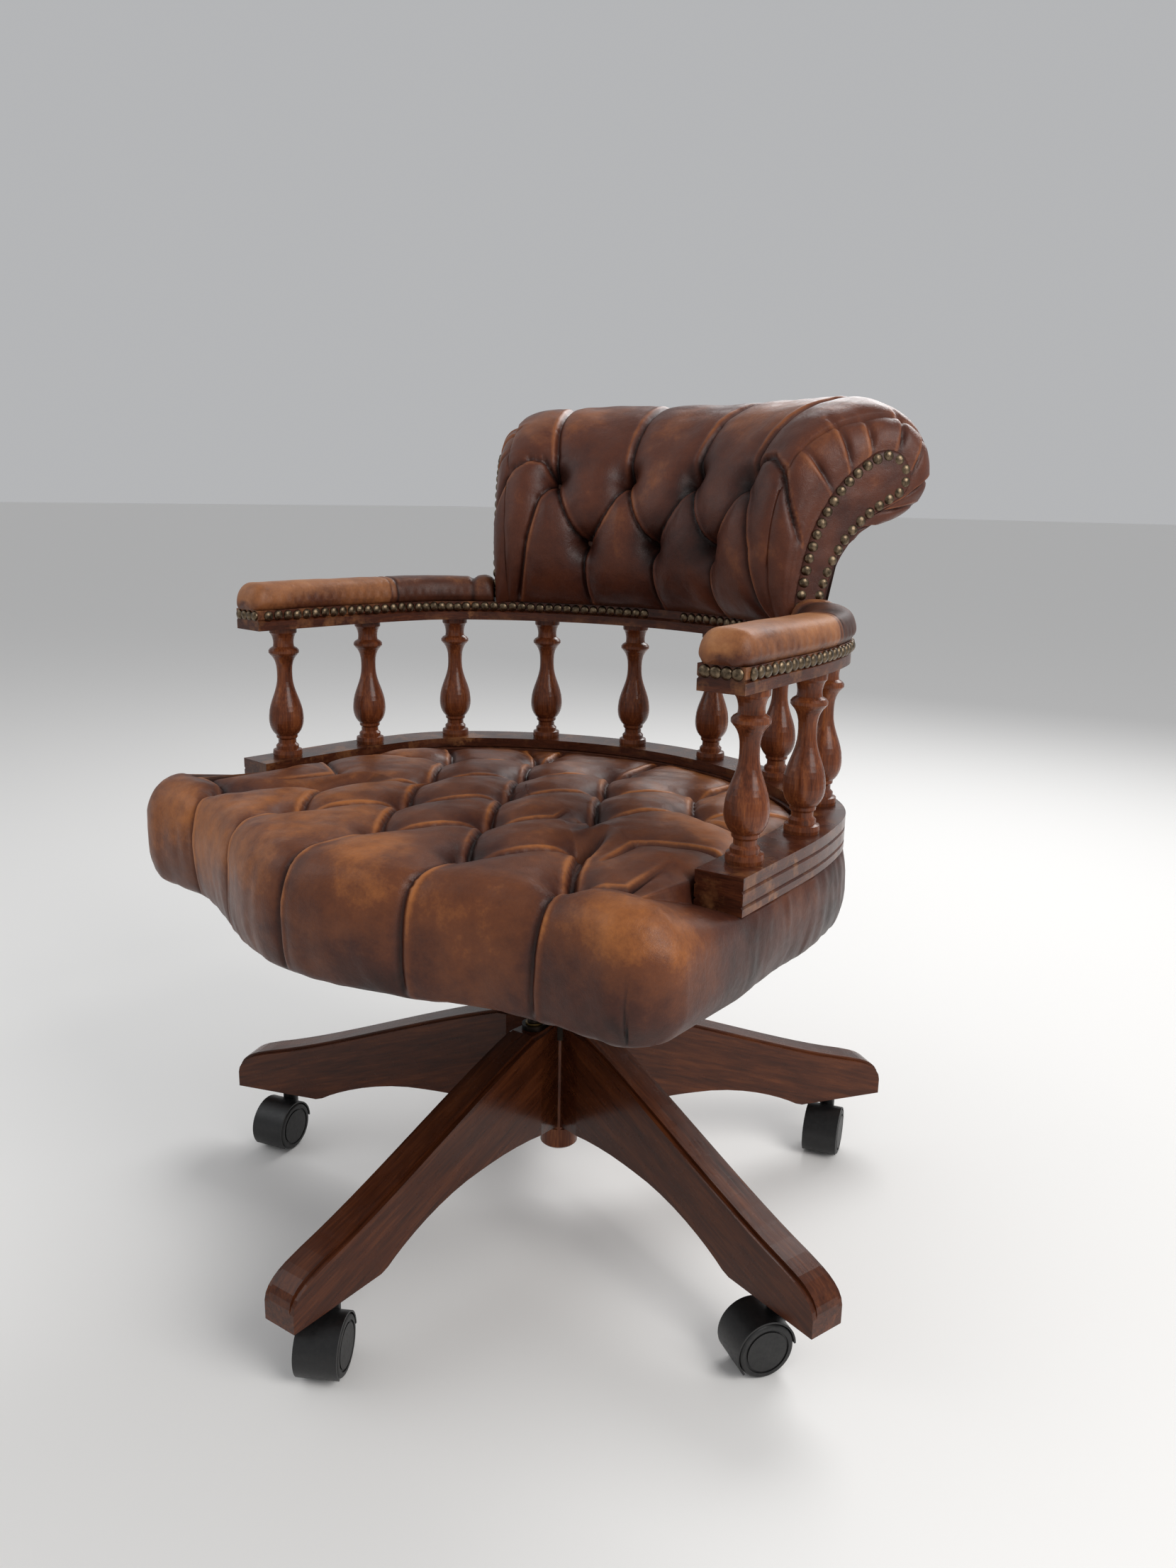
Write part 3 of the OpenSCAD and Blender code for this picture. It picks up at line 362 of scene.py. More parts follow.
def wood(name, stretch, rotation=(0, 0, 0), dark=(34, 15, 8), mid=(72, 35, 18), light=(104, 56, 29),
         worn=(150, 100, 62), wear=0.6):
    """Dark red polished wood with streaked grain, and finish worn through along its edges."""
    mat, tree, shader = material(name)
    c = coords(tree, stretch, rotation)
    plain = coords(tree)
    grain = noise(tree, c, 30, 6, 0.6, 0.3)
    bands = noise(tree, c, 5, 3, 0.5, 0.8)
    mix = math_node(tree, "ADD", math_node(tree, "MULTIPLY", grain, 0.55),
                    math_node(tree, "MULTIPLY", bands, 0.45))
    colour = ramp(tree, [(0.28, rgb(*dark)), (0.5, rgb(*mid)), (0.72, rgb(*light))], mix)
    geo = tree.nodes.new("ShaderNodeNewGeometry")
    patch = noise(tree, plain, 42, 4, 0.65)
    edge = math_node(tree, "MULTIPLY", math_node(tree, "SUBTRACT", geo.outputs["Pointiness"], 0.53), 9.0)
    edge = math_node(tree, "MULTIPLY", edge, spread(tree, patch, 7.0), True)
    edge = math_node(tree, "MULTIPLY", edge, wear, True)
    mixed = add(tree, "ShaderNodeMix", data_type="RGBA")
    tree.links.new(edge, mixed.inputs["Factor"])
    tree.links.new(colour.outputs["Color"], mixed.inputs["A"])
    mixed.inputs["B"].default_value = rgb(*worn)
    tree.links.new(mixed.outputs["Result"], shader.inputs["Base Color"])
    r = math_node(tree, "ADD", math_node(tree, "MULTIPLY", noise(tree, plain, 30, 5, 0.6), 0.3), 0.12)
    tree.links.new(r, shader.inputs["Roughness"])
    tree.links.new(bump(tree, grain, 0.12, 0.0008), shader.inputs["Normal"])
    shader.inputs["Specular IOR Level"].default_value = 0.2
    shader.inputs["Coat Weight"].default_value = 0.14
    shader.inputs["Coat Roughness"].default_value = 0.14
    return mat


def metal(name, dark, light, rough, scale=90, metallic=1.0, strength=0.2):
    mat, tree, shader = material(name)
    c = coords(tree)
    n = noise(tree, c, scale, 5, 0.62)
    colour = ramp(tree, [(0.32, rgb(*dark)), (0.7, rgb(*light))], n)
    tree.links.new(colour.outputs["Color"], shader.inputs["Base Color"])
    shader.inputs["Metallic"].default_value = metallic
    r = math_node(tree, "MULTIPLY", noise(tree, c, scale * 1.7, 3), 0.25)
    r = math_node(tree, "ADD", r, rough - 0.12)
    tree.links.new(r, shader.inputs["Roughness"])
    tree.links.new(bump(tree, noise(tree, c, scale * 3, 4), strength, 0.0006), shader.inputs["Normal"])
    return mat


LEATHER = leather("leather", rgb(30, 15, 12), rgb(70, 36, 25), rgb(106, 59, 34), rgb(166, 101, 52), 0.38)
BACK_LEATHER = leather("back_leather", rgb(30, 15, 12), rgb(66, 34, 25),
                       rgb(90, 48, 32), rgb(136, 80, 46), 0.38)
PAD_LEATHER = leather("pad_leather", rgb(44, 23, 17), rgb(84, 46, 30),
                      rgb(150, 96, 58), rgb(186, 130, 84), 0.40)
BUTTON_LEATHER = leather("button_leather", rgb(40, 20, 15), rgb(70, 38, 27),
                         rgb(104, 62, 40), rgb(150, 98, 60), 0.4)
# The legs' grain runs down along each one
LEG_FALL, LEG_FIRST = 18, -86.5
LEG_WOOD = [wood("leg_wood_%d" % k, (1, 12, 12),
                 (0, math.radians(LEG_FALL), math.radians(LEG_FIRST + 72 * (k - 1))), wear=0.0)
            for k in range(1, 6)]
RAIL_WOOD = wood("rail_wood", (3, 3, 26), dark=(34, 16, 10), mid=(68, 33, 20), light=(98, 52, 30))
SPINDLE_WOOD = wood("spindle_wood", (22, 22, 2), dark=(52, 24, 14), mid=(98, 50, 28), light=(140, 80, 44),
                    wear=0.25)
# A near-black board under the seat: painted shade, standing in for the shadow line below the leather
PAINTED_SHADE_BOARD = wood("painted_shade_board", (1, 12, 12), dark=(14, 9, 7), mid=(22, 14, 11), light=(34, 22, 16), wear=0.0)
PALE_WOOD = wood("pale_wood", (1, 12, 12), dark=(140, 104, 66), mid=(168, 130, 86), light=(190, 152, 104))
NAIL = metal("antique_nail", (58, 49, 39), (132, 114, 92), 0.36, 260)
IRON = metal("black_iron", (17, 16, 16), (48, 40, 34), 0.42, 70)
BRASS = metal("dull_brass", (84, 66, 36), (132, 108, 62), 0.4, 110)
STEEL = metal("steel", (120, 120, 122), (160, 160, 162), 0.34, 120)
PLASTIC = metal("black_plastic", (12, 12, 13), (26, 25, 25), 0.42, 240, 0.0, 0.1)
WHEEL = metal("wheel_plastic", (16, 16, 17), (34, 33, 32), 0.5, 200, 0.0, 0.1)


def dress(name, mat):
    o = nodes[name]
    for i in range(len(o.material_slots)):
        o.material_slots[i].material = mat
    if not o.material_slots:
        o.data.materials.append(mat)


for n in nodes:
    if n[:4] == "leg_" and n[4:].isdigit():
        dress(n, LEG_WOOD[int(n[4:]) - 1])
    elif n in ("lower_rail", "upper_rail"):
        dress(n, RAIL_WOOD)
    elif n in ("spindles", "centre_post"):
        dress(n, SPINDLE_WOOD)
    elif n == "seat_board":
        dress(n, PAINTED_SHADE_BOARD)
    elif n in ("seat_frame", "back_core"):
        dress(n, PALE_WOOD)
    elif n in ("leg_washers", "seat_screws", "thrust_washer", "height_nut"):
        dress(n, BRASS)
    elif n in ("hub_spider", "leg_bolts", "tilt_bracket", "seat_plate"):
        dress(n, IRON)
    elif n.endswith(("_wheel_left", "_wheel_right")):
        dress(n, WHEEL)
    elif n.endswith("_hood") or n in ("tension_knob", "caster_sockets"):
        dress(n, PLASTIC)
    else:
        dress(n, STEEL)

# ---- Seat leather ----
TUFT_X, TUFT_Y, TUFT_FRONT = 0.103, 0.080, -0.238
TUFT_ROWS = [[-2, -1, 0, 1, 2], [-1.5, -0.5, 0.5, 1.5], [-1, 0, 1], [-1.5, -0.5, 0.5, 1.5], [-1, 0, 1]]
CORNER_MID = np.array([0.265, -0.240])
CORNER_RAD = 0.040
FRONT_Y, BOW, BOW_HALF = -0.280, 0.062, 0.235
SIDE_OFF = 0.0244


def front_edge(x):
    return FRONT_Y - BOW * (1 + np.cos(np.pi * np.minimum(np.abs(x) / BOW_HALF, 1))) / 2


def seat_loop(inset):
    """Right half of the seat's outline at an inset, from the middle of the back to the middle of the front."""
    s = np.linspace(0, LOWER_LEN, 300)
    a = np.radians(np.linspace(0, -90, 37))[1:]
    x = CORNER_MID[0] * (1 - np.linspace(0, 1, 171)[1:])
    n = len(s) + len(a) + len(x)
    d = np.broadcast_to(inset, (n,))
    one = rail(s, SIDE_OFF - d[:len(s)])
    r = np.maximum(CORNER_RAD - d[len(s):len(s) + len(a)], 0.002)[:, None]
    two = CORNER_MID + r * np.stack([np.cos(a), np.sin(a)], -1)
    three = np.stack([x, front_edge(x) + d[len(s) + len(a):]], -1)
    return np.vstack([one, two, three]), (len(s), len(a), len(x))


outer, counts = seat_loop(0.0)
n_half = len(outer)
along = np.concatenate([[0], np.cumsum(np.linalg.norm(np.diff(outer, axis=0), axis=1))])
rail_end = along[counts[0] - 1]
# 0 under the rail, 1 in front of it
front_w = smooth(along, rail_end - 0.006, rail_end + 0.030)
dip = 0.050 + (0.034 - 0.050) * smooth(along, rail_end - 0.004, rail_end + 0.05)
inner, _ = seat_loop(dip)


def both(half, sign=-1):
    other = half[-2:0:-1].copy()
    if half.ndim > 1:
        other[:, 0] *= sign
    return np.concatenate([half, other])


outer, inner, front_w2, dip2 = both(outer), both(inner), both(front_w), both(dip)
count = len(outer)
out_vec = outer - inner
out_vec /= np.linalg.norm(out_vec, axis=1, keepdims=True)

# Cross-sections of the edge, under the rail and in front, from the underside outwards and up to the inner ring:
# inset as a share of the dip, and height
under = [(1.0, 0.3445), (0.62, 0.3442), (0.32, 0.3444), (0.22, 0.3462), (0.135, 0.3500), (0.085, 0.357),
         (0.03, 0.369), (0.0, 0.385), (0.03, 0.399), (0.075, 0.4085), (0.115, 0.4128), (0.16, 0.4136),
         (0.5, 0.4137), (0.93, 0.4137), (0.955, 0.416), (0.965, 0.4215), (0.975, 0.4275), (1.0, 0.433)]
front = [(1.0, 0.3445), (0.66, 0.3442), (0.47, 0.3444), (0.34, 0.3462), (0.20, 0.3500), (0.125, 0.356),
         (0.05, 0.367), (0.0, 0.383), (0.01, 0.399), (0.06, 0.414), (0.14, 0.4255), (0.24, 0.4335),
         (0.38, 0.4395), (0.54, 0.4432), (0.68, 0.4452), (0.80, 0.4462), (0.90, 0.4468), (1.0, 0.447)]
K_EDGE = 92
under = resample(relax(resample(under, 260), 6), K_EDGE)
front = resample(relax(resample(front, 260), 16), K_EDGE)
edge = under[None] * (1 - front_w2[:, None, None]) + front[None] * front_w2[:, None, None]
edge_plan = outer[:, None] - out_vec[:, None] * (edge[:, :, 0] * dip2[:, None])[..., None]
edge_pts = np.concatenate([edge_plan, edge[:, :, 1:]], -1)
# Unrolled plan: the inner ring and outwards from it by the length along the cross-section
step = np.linalg.norm(np.diff(edge_pts, axis=1), axis=2)
back_len = np.concatenate([np.cumsum(step[:, ::-1], axis=1)[:, ::-1], np.zeros((count, 1))], axis=1)
edge_flat = inner[:, None] + out_vec[:, None] * back_len[..., None]

K_TOP = 140
middle = np.array([0.0, -0.055])
rho = np.linspace(1, 0.0, K_TOP + 1)[1:]
top_plan = middle + (inner[:, None] - middle) * rho[None, :, None]
to_edge = np.linalg.norm(inner - middle, axis=1)[:, None] * (1 - rho[None])


def crown(p):
    """Height of the seat's top before its tufts."""
    back_fall = 0.016 * smooth(p[..., 1], -0.06, 0.17)
    return 0.4495 - back_fall - 0.004 * (p[..., 0] / 0.27) ** 2


ring_z = edge_pts[:, -1, 2][:, None]
top_z = ring_z + (crown(top_plan) - ring_z) * (1 - np.exp(-to_edge / (0.012 + 0.02 * front_w2[:, None])))
top_pts = np.concatenate([top_plan, top_z[..., None]], -1)
pts = np.concatenate([edge_pts, top_pts], 1)
flat = np.concatenate([edge_flat, top_plan], 1)

buttons = [[(TUFT_X * c, TUFT_FRONT + TUFT_Y * r) for c in row] for r, row in enumerate(TUFT_ROWS)]
segs = []
DEEP, MID, WIDE, WIDE_MID = 0.0185, 0.0062, 0.046, 0.040
for r in range(4):
    for a in buttons[r]:
        for b in buttons[r + 1]:
            if abs(abs(a[0] - b[0]) - TUFT_X / 2) < 1e-6:
                segs += folded(a, b, DEEP, MID, WIDE, WIDE_MID, 0.05 if b[0] > a[0] else -0.03)
for x, y in buttons[0]:
    f = front_edge(x)
    if abs(x) < 0.2:
        segs += path([(x, y), (x * 1.02, y - 0.022), (x * 1.04, f + 0.046), (x * 1.045, f + 0.010),
                      (x * 1.04, f - 0.05), (x * 1.03, f - 0.100)],
                     [DEEP, 0.0080, 0.0042, 0.0036, 0.0034, 0.0030], [WIDE, 0.040, 0.036, 0.030, 0.022, 0.016])
    else:
        segs += path([(x, y), (x * 1.01, y - 0.020), (x * 1.015, f + 0.012), (x * 1.00, f - 0.05),
                      (x * 0.985, f - 0.096)],
                     [DEEP, 0.0080, 0.0040, 0.0036, 0.0030], [WIDE, 0.038, 0.030, 0.022, 0.016])
# Folds from the outer buttons to the seat's corners and sides, for the right half: points, depths, widths
SIDE_FOLDS = [
    ([(0.206, -0.238), (0.228, -0.230), (0.262, -0.226), (0.290, -0.222), (0.330, -0.221), (0.375, -0.224)],
     [DEEP, 0.0080, 0.0055, 0.0048, 0.0045, 0.0036], [WIDE, 0.036, 0.028, 0.022, 0.017, 0.013]),
    ([(0.3095, -0.3195), (0.330, -0.3400), (0.360, -0.372)], [0.0012, 0.0036, 0.0040], [0.012, 0.014, 0.014]),
    ([(0.1545, -0.158), (0.190, -0.166), (0.236, -0.168), (0.262, -0.164)],
     [DEEP, 0.0075, 0.0056, 0.004], [WIDE, 0.038, 0.032, 0.024]),
    ([(0.1545, -0.158), (0.172, -0.182), (0.190, -0.212), (0.206, -0.238)],
     [DEEP, 0.0085, 0.0085, DEEP], [WIDE, 0.040, 0.040, WIDE]),
    ([(0.1545, -0.158), (0.186, -0.126), (0.240, -0.100)], [DEEP, 0.0075, 0.004], [WIDE, 0.038, 0.030]),
    ([(0.1545, 0.002), (0.186, -0.026), (0.240, -0.046)], [DEEP, 0.0070, 0.004], [WIDE, 0.038, 0.030]),
    ([(0.1545, 0.002), (0.184, 0.032), (0.226, 0.066)], [DEEP, 0.0070, 0.004], [WIDE, 0.036, 0.028]),
    ([(0.103, 0.082), (0.130, 0.106), (0.172, 0.136)], [DEEP, 0.0070, 0.004], [WIDE, 0.036, 0.028])]
for sx in (-1, 1):
    for places, depths, widths in SIDE_FOLDS:
        segs += path([(sx * x, y) for x, y in places], depths, widths)
for x in (-0.103, 0.0, 0.103):
    segs += path([(x, 0.082), (x * 1.05, 0.110), (x * 1.12, 0.160 - abs(x) * 0.2)],
                 [DEEP, 0.0075, 0.004], [WIDE, 0.036, 0.026])
fold, line, lip, near_fold = creases(flat, segs)
near = np.full(flat.shape[:2], 1e9)
for row in buttons:
    for b in row:
        near = np.minimum(near, np.linalg.norm(flat - np.array(b), axis=-1))
dimple = 0.0085 * np.exp(-(near / 0.011) ** 2)
down = fold + dimple
# The part under the rail and the underside stay plain
k_all = np.arange(pts.shape[1])
on_edge = (k_all < K_EDGE)[None, :]
keep = np.where(on_edge, front_w2[:, None] * smooth(pts[..., 2], 0.3446, 0.362), 1.0)
side_keep = np.where(on_edge & (pts[..., 2] > 0.3455) & (pts[..., 2] < 0.4125), 1.0, 0.0)
normal = grid_normals(pts, wrap_n=True)
sign = 1.0 if normal[:, K_EDGE + 20, 2].mean() > 0 else -1.0
normal *= sign
soft = waves(pts, 9, 5, 3) * 0.0016 * np.maximum(keep, 0.8 * side_keep)
# The front corners swell outwards
corner_at = (rail_end + along[counts[0] + counts[1] - 1]) / 2 + 0.006
swell = smooth(pts[..., 2], 0.345, 0.372) * (1 - smooth(pts[..., 2], 0.405, 0.447))
horn = both(np.exp(-((along - corner_at) / 0.042) ** 2))[:, None] * swell * on_edge
moved = pts + normal * (soft - down * keep + 0.009 * horn)[..., None]
# Light creases of the fabric across the side band
lines = np.sin(waves(pts * np.array([1, 1, 0.25]), 26, 9, 2) * 3.0) * 0.0005
moved += normal * (lines * side_keep)[..., None]
# Colour level of the seat leather: painted shade along the folds, round the buttons and in each crease line,
# and a painted highlight along each fold's lip
wear_and_shade = (0.74 - 0.20 * np.exp(-near_fold / 0.009) - 0.42 * np.exp(-(near / 0.026) ** 2) - 0.26 * line
       + 0.42 * lip * (1 - line))
# The side band under the rail gets one flat darker level: painted shade under the rail
wear_and_shade = np.where(on_edge & (front_w2[:, None] < 0.5), 0.42, wear_and_shade)
# Darker down the side band towards the underside: painted shade from light falling from above; the top is also
# darker towards the seat's left and right
band = np.where(on_edge, smooth(pts[..., 2], 0.350, 0.435), 1.0)
wear_and_shade = wear_and_shade * (0.50 + 0.50 * band) - 0.10 * smooth(np.abs(pts[..., 0]), 0.12, 0.30) * (1 - on_edge)
wear_and_shade = wear_and_shade + 0.20 * waves(pts, 6, 21, 2)
n_v, k_v = moved.shape[:2]
verts = np.vstack([moved.reshape(-1, 3), [[0, -0.055, 0.3445]]])
wear_and_shade_values = np.append(wear_and_shade.reshape(-1), 0.3)
faces = [tuple(f) for f in sheet_faces(n_v, k_v, wrap_n=True)]
# The last ring has shrunk to a point at the top, and a fan closes the underside
bottom = n_v * k_v
for i in range(n_v):
    faces.append((i * k_v, bottom, ((i + 1) % n_v) * k_v))
faces = np.array([f for f in faces if len(f) == 4]), [f for f in faces if len(f) == 3]
quads = faces[0] if sign > 0 else faces[0][:, ::-1]
tris = [tuple(f) if sign > 0 else tuple(f[::-1]) for f in faces[1]]
top_middle = moved[:, -1].mean(0)
for i in range(n_v):
    verts[i * k_v + k_v - 1] = top_middle
seat = make("seat_leather", verts, [tuple(f) for f in quads] + tris, "seat", LEATHER, wear_and_shade_values,
            ("seat_cushion",))


def seat_height(x, y):
    p = np.array([x, y])
    i = np.argmin(np.linalg.norm(moved[:, K_EDGE:, :2] - p, axis=-1))
    return moved[:, K_EDGE:].reshape(-1, 3)[i, 2]


def timber(name, insets, low, high, body, mat, node):
    """A flat piece that follows the seat's outline: a ring between two insets, or a whole board with one."""
    loops = [both(seat_loop(d)[0])[::4] for d in insets]
    n = len(loops[0])
    if len(loops) == 1:
        loops.append(np.tile([[0.0, -0.055]], (n, 1)))
    outer_l, inner_l = loops
    rings = [(outer_l, low), (outer_l, high), (inner_l, high), (inner_l, low)]
    pts = np.array([[(x, y, z) for x, y in loop] for loop, z in rings])
    f = sheet_faces(4, n, wrap_n=True, wrap_k=True)
    return make(name, pts.reshape(-1, 3), [tuple(q) for q in f[:, ::-1]], body, mat, None, (node,))


timber("seat_timber", (0.017, 0.036), 0.352, 0.411, "seat", PALE_WOOD, "seat_frame")
# The underboard is near black: painted shade below the seat leather
timber("seat_underboard", (0.046,), 0.337, 0.352, "seat", PAINTED_SHADE_BOARD, "seat_board")


# ---- Buttons ----
def dome(radius, height, base, rings=7, around=20, curl=0.25):
    """A rounded button or nail, around +Z, with its base below z = 0."""
    prof = [(radius * math.cos(math.pi / 2 * i / rings) if i else radius,
             height * math.sin(math.pi / 2 * i / rings)) for i in range(rings)]
    prof = [(radius * (1 - curl), -base), (radius, -base * curl)] + prof
    a = np.linspace(0, 2 * np.pi, around, endpoint=False)
    pts = np.array([[(r * math.cos(t), r * math.sin(t), z) for t in a] for r, z in prof]).reshape(-1, 3)
    f = [tuple(q) for q in sheet_faces(len(prof), around, wrap_k=True)[:, ::-1]]
    last = (len(prof) - 1) * around
    pts = np.vstack([pts, [[0, 0, height]], [[0, 0, -base]]])
    top, low = len(pts) - 2, len(pts) - 1
    f += [(last + i, last + (i + 1) % around, top) for i in range(around)]
    f += [((i + 1) % around, i, low) for i in range(around)]
    return pts, f


def placed(shape, places):
    """Copies of a shape at (origin, axis) places as one mesh."""
    verts, faces = [], []
    base = 0
    pts, f = shape
    for origin, axis in places:
        axis = np.array(axis, float)
        axis /= np.linalg.norm(axis)
        side = np.cross([0, 0, 1] if abs(axis[2]) < 0.9 else [0, 1, 0], axis)
        side /= np.linalg.norm(side)
        other = np.cross(axis, side)
        basis = np.stack([side, other, axis])
        verts.append(pts @ basis + np.array(origin))
        faces += [tuple(i + base for i in q) for q in f]
        base += len(pts)
    return np.vstack(verts), faces


places = []
for row in buttons:
    for x, y in row:
        places.append(((x, y, seat_height(x, y) + 0.0012), (0, 0, 1)))
v, f = placed(dome(0.0082, 0.0042, 0.004), places)
make("seat_button_heads", v, f, "seat", BUTTON_LEATHER, np.full(len(v), 0.5), ("seat_buttons",))

# ---- Back ----
N_PROF = 230


def back_profile(e):
    """The back's cross-section from the front of its foot over the roll to the back of its foot.
    e is 0 along the middle and 1 at an end."""
    mid = np.array([0.064, 0.156]) * (1 - e) + np.array([0.068, 0.143]) * e
    r = 0.056 * (1 - e) + 0.046 * e
    f = 0.022 * (1 - e)
    g = 0.002 * (1 - e)
    a = np.radians(np.arange(75, -76, -5))
    pts = np.vstack([
        bezier((-0.024 - g, 0.0004), (-0.044 - f, 0.022), (-0.044 - f, 0.080), (-0.030 - f * 0.7, 0.128), 30),
        bezier((-0.024 - f * 0.7, 0.142), (-0.014, mid[1] + r - 0.026), (0.020, mid[1] + r - 0.003),
               (mid[0], mid[1] + r), 30)[1:],
        mid + r * np.stack([np.cos(a), np.sin(a)], -1),
        bezier(mid + [-0.008, 0.001 - r], (0.034 + g, 0.086 - g), (0.012 + g, 0.060), (0.012 + g, 0.0004), 30)])
    return resample(relax(resample(pts, 400), 30), N_PROF)


def panel_line(grow):
    """An end panel's outline, grown outwards: its front side, the arc round the roll, its rear side."""
    loop = np.array([0.063, 0.136])
    r = 0.020 + grow
    def at(d):
        return loop + r * np.array([math.cos(math.radians(d)), math.sin(math.radians(d))])
    front_side = bezier((-0.016 - grow, 0.001 - grow), (-0.014 - grow, 0.060), (-0.002 - grow, 0.120),
                        at(130), 24)
    arc = np.array([at(d) for d in range(120, -51, -10)])
    rear = bezier(at(-70), (0.034, 0.098), (0.006 + grow, 0.066), (0.002 + grow, 0.001 - grow), 24)
    return front_side, arc, rear


def panel_ring(grow, n):
    a, b, c = panel_line(grow)
    return resample(np.vstack([a, b, c]), n)


def sweep_point(s, off, z):
    """A point at a signed length round the back, an offset outwards and a height above the upper rail."""
    th = np.asarray(s, float) / BACK_R
    x = (BACK_R + off) * np.sin(th)
    y = BACK_C[1] + (BACK_R + off) * np.cos(th)
    return np.stack([x, y, UPPER_TOP + z + 0 * x], -1)


END_R = 0.016
s_main = np.linspace(-(BACK_LEN - END_R), BACK_LEN - END_R, 321)
rows, s_rows, q_rows, off_rows = [], [], [], []
ends = np.clip((np.abs(s_main) - (BACK_LEN - END_R - 0.060)) / 0.060, 0, 1)
ends = 1 - np.sqrt(1 - ends ** 2 * 0.9999)
prof_mid = back_profile(0.0)
end_prof = back_profile(1.0)
inner_prof = panel_ring(0.006, N_PROF)
for s, e in zip(s_main, ends):
    rows.append((s, back_profile(e)))
K_CAP = 16
cap = []
for k in range(1, K_CAP + 1):
    phi = k / K_CAP * math.pi / 2
    mixw = 1 - math.cos(phi)
    cap.append((BACK_LEN - END_R + END_R * math.sin(phi), end_prof * (1 - mixw) + inner_prof * mixw))
rows = [(-s, p) for s, p in cap[::-1]] + rows + cap
S = np.array([s for s, _ in rows])
P = np.array([p for _, p in rows])
back_pts = sweep_point(S[:, None] + 0 * P[..., 0], P[..., 0], P[..., 1])
q = np.concatenate([[0], np.cumsum(np.linalg.norm(np.diff(prof_mid, axis=0), axis=1))])
mid_i = len(S) // 2
flat_s = np.sign(S) * np.minimum(np.abs(S), BACK_LEN - END_R)
# Unrolled: signed length round the back, going on over the rounded ends, and length along the cross-section
cap_len = np.zeros(P.shape[:2])
for side in (0, 1):
    idx = list(range(K_CAP - 1, -1, -1)) if side == 0 else list(range(len(S) - K_CAP, len(S)))
    prev = back_pts[K_CAP] if side == 0 else back_pts[len(S) - K_CAP - 1]
    total = np.zeros(N_PROF)
    for i in idx:
        total = total + np.linalg.norm(back_pts[i] - prev, axis=1)
        prev = back_pts[i]
        cap_len[i] = total
U = flat_s[:, None] + np.sign(S)[:, None] * cap_len
V = np.broadcast_to(q, U.shape)
UV = np.stack([U, V], -1)


def q_at(z):
    """Length along the cross-section where its front is at a height above the rail."""
    k = np.argmax(prof_mid[:, 1] >= z)
    return q[k]


TOP_Z, LOW_Z = 0.134, 0.064
qt, ql = q_at(TOP_Z), q_at(LOW_Z)
q_end = q[-1]
top_b = [(BACK_R * math.radians(t), qt) for t in (-25, -8.5, 8.5, 25)]
low_b = [(BACK_R * math.radians(t), ql) for t in (-17, 0, 17)]
segs = []
BD, BM, BW = 0.0190, 0.0062, 0.044
for a in top_b:
    for b in low_b:
        if abs(a[0] - b[0]) < BACK_R * math.radians(9.5):
            segs += folded(a, b, BD, BM, BW, 0.036, 0.06 if b[0] > a[0] else -0.06)
for x, y in top_b:
    lean = 1.03
    segs += path([(x, y), (x, y + 0.024), (x * lean, y + 0.06), (x * lean, y + 0.16), (x * lean, q_end)],
                 [BD, 0.0085, 0.0050, 0.0036, 0.0030], [BW, 0.034, 0.026, 0.016, 0.012])
for x, y in low_b:
    segs += path([(x, y), (x, y - 0.024), (x, 0.0)], [BD, 0.0085, 0.0042], [BW, 0.034, 0.022])
for sx in (-1, 1):
    x, y = sx * abs(top_b[0][0]), qt
    segs += path([(x, y), (sx * 0.158, qt - 0.024), (sx * 0.172, ql + 0.004), (sx * 0.186, 0.0)],
                 [BD, 0.0085, 0.0060, 0.0036], [BW, 0.034, 0.026, 0.018])
    segs += path([(x, y), (sx * 0.154, y + 0.018), (sx * 0.172, y + 0.020), (sx * 0.192, y + 0.010),
                  (sx * 0.208, y - 0.014), (sx * 0.228, y - 0.04)],
                 [BD, 0.0080, 0.0052, 0.0046, 0.0044, 0.0036], [0.036, 0.026, 0.020, 0.017, 0.015, 0.013])
    # Pleats gathered round the rounded end
    for j, vv in enumerate(np.linspace(qt + 0.040, q_end - 0.105, 9)):
        inner_end = (sx * (0.200 - 0.010 * (j % 2)), vv + (0.004 if j % 2 else -0.003))
        segs.append(((sx * 0.250, vv), inner_end, 0.0050, 0.012, 0.0010, 0.012))
fold, line, lip, near_fold = creases(UV, segs)
near = np.full(UV.shape[:2], 1e9)
for b in top_b + low_b:
    near = np.minimum(near, np.linalg.norm(UV - np.array(b), axis=-1))
down = fold + 0.0085 * np.exp(-(near / 0.011) ** 2)
normal = grid_normals(back_pts)
if (normal[mid_i, 40] @ np.array([0, -1, 0])) < 0:
    normal = -normal
    flip = True
else:
    flip = False
foot = smooth(V, 0.0, 0.012) * (1 - smooth(V, q_end - 0.012, q_end))
rim = np.ones_like(V)
rim[:2] = rim[-2:] = 0.0
rim[2:5] *= 0.5
rim[-5:-2] *= 0.5
puff = 0.004 * np.exp(-((V - (qt + ql) / 2) / 0.09) ** 2)
soft = waves(back_pts, 10, 31, 3) * 0.0014
shift = (soft + puff - down * (0.35 + 0.65 * foot)) * rim * (0.2 + 0.8 * foot)
moved_b = back_pts + normal * shift[..., None]
# Colour level of the back leather: painted shade along the folds, round the buttons and in each crease line,
# and a painted highlight along each fold's lip
back_wear_and_shade = (0.56 - 0.18 * np.exp(-near_fold / 0.009) - 0.36 * np.exp(-(near / 0.026) ** 2) - 0.24 * line
         + 0.36 * lip * (1 - line))
# A lighter band along the top of the roll: painted highlight from light falling from above
back_wear_and_shade += 0.24 * np.exp(-((V - (qt + 0.085)) / 0.05) ** 2)
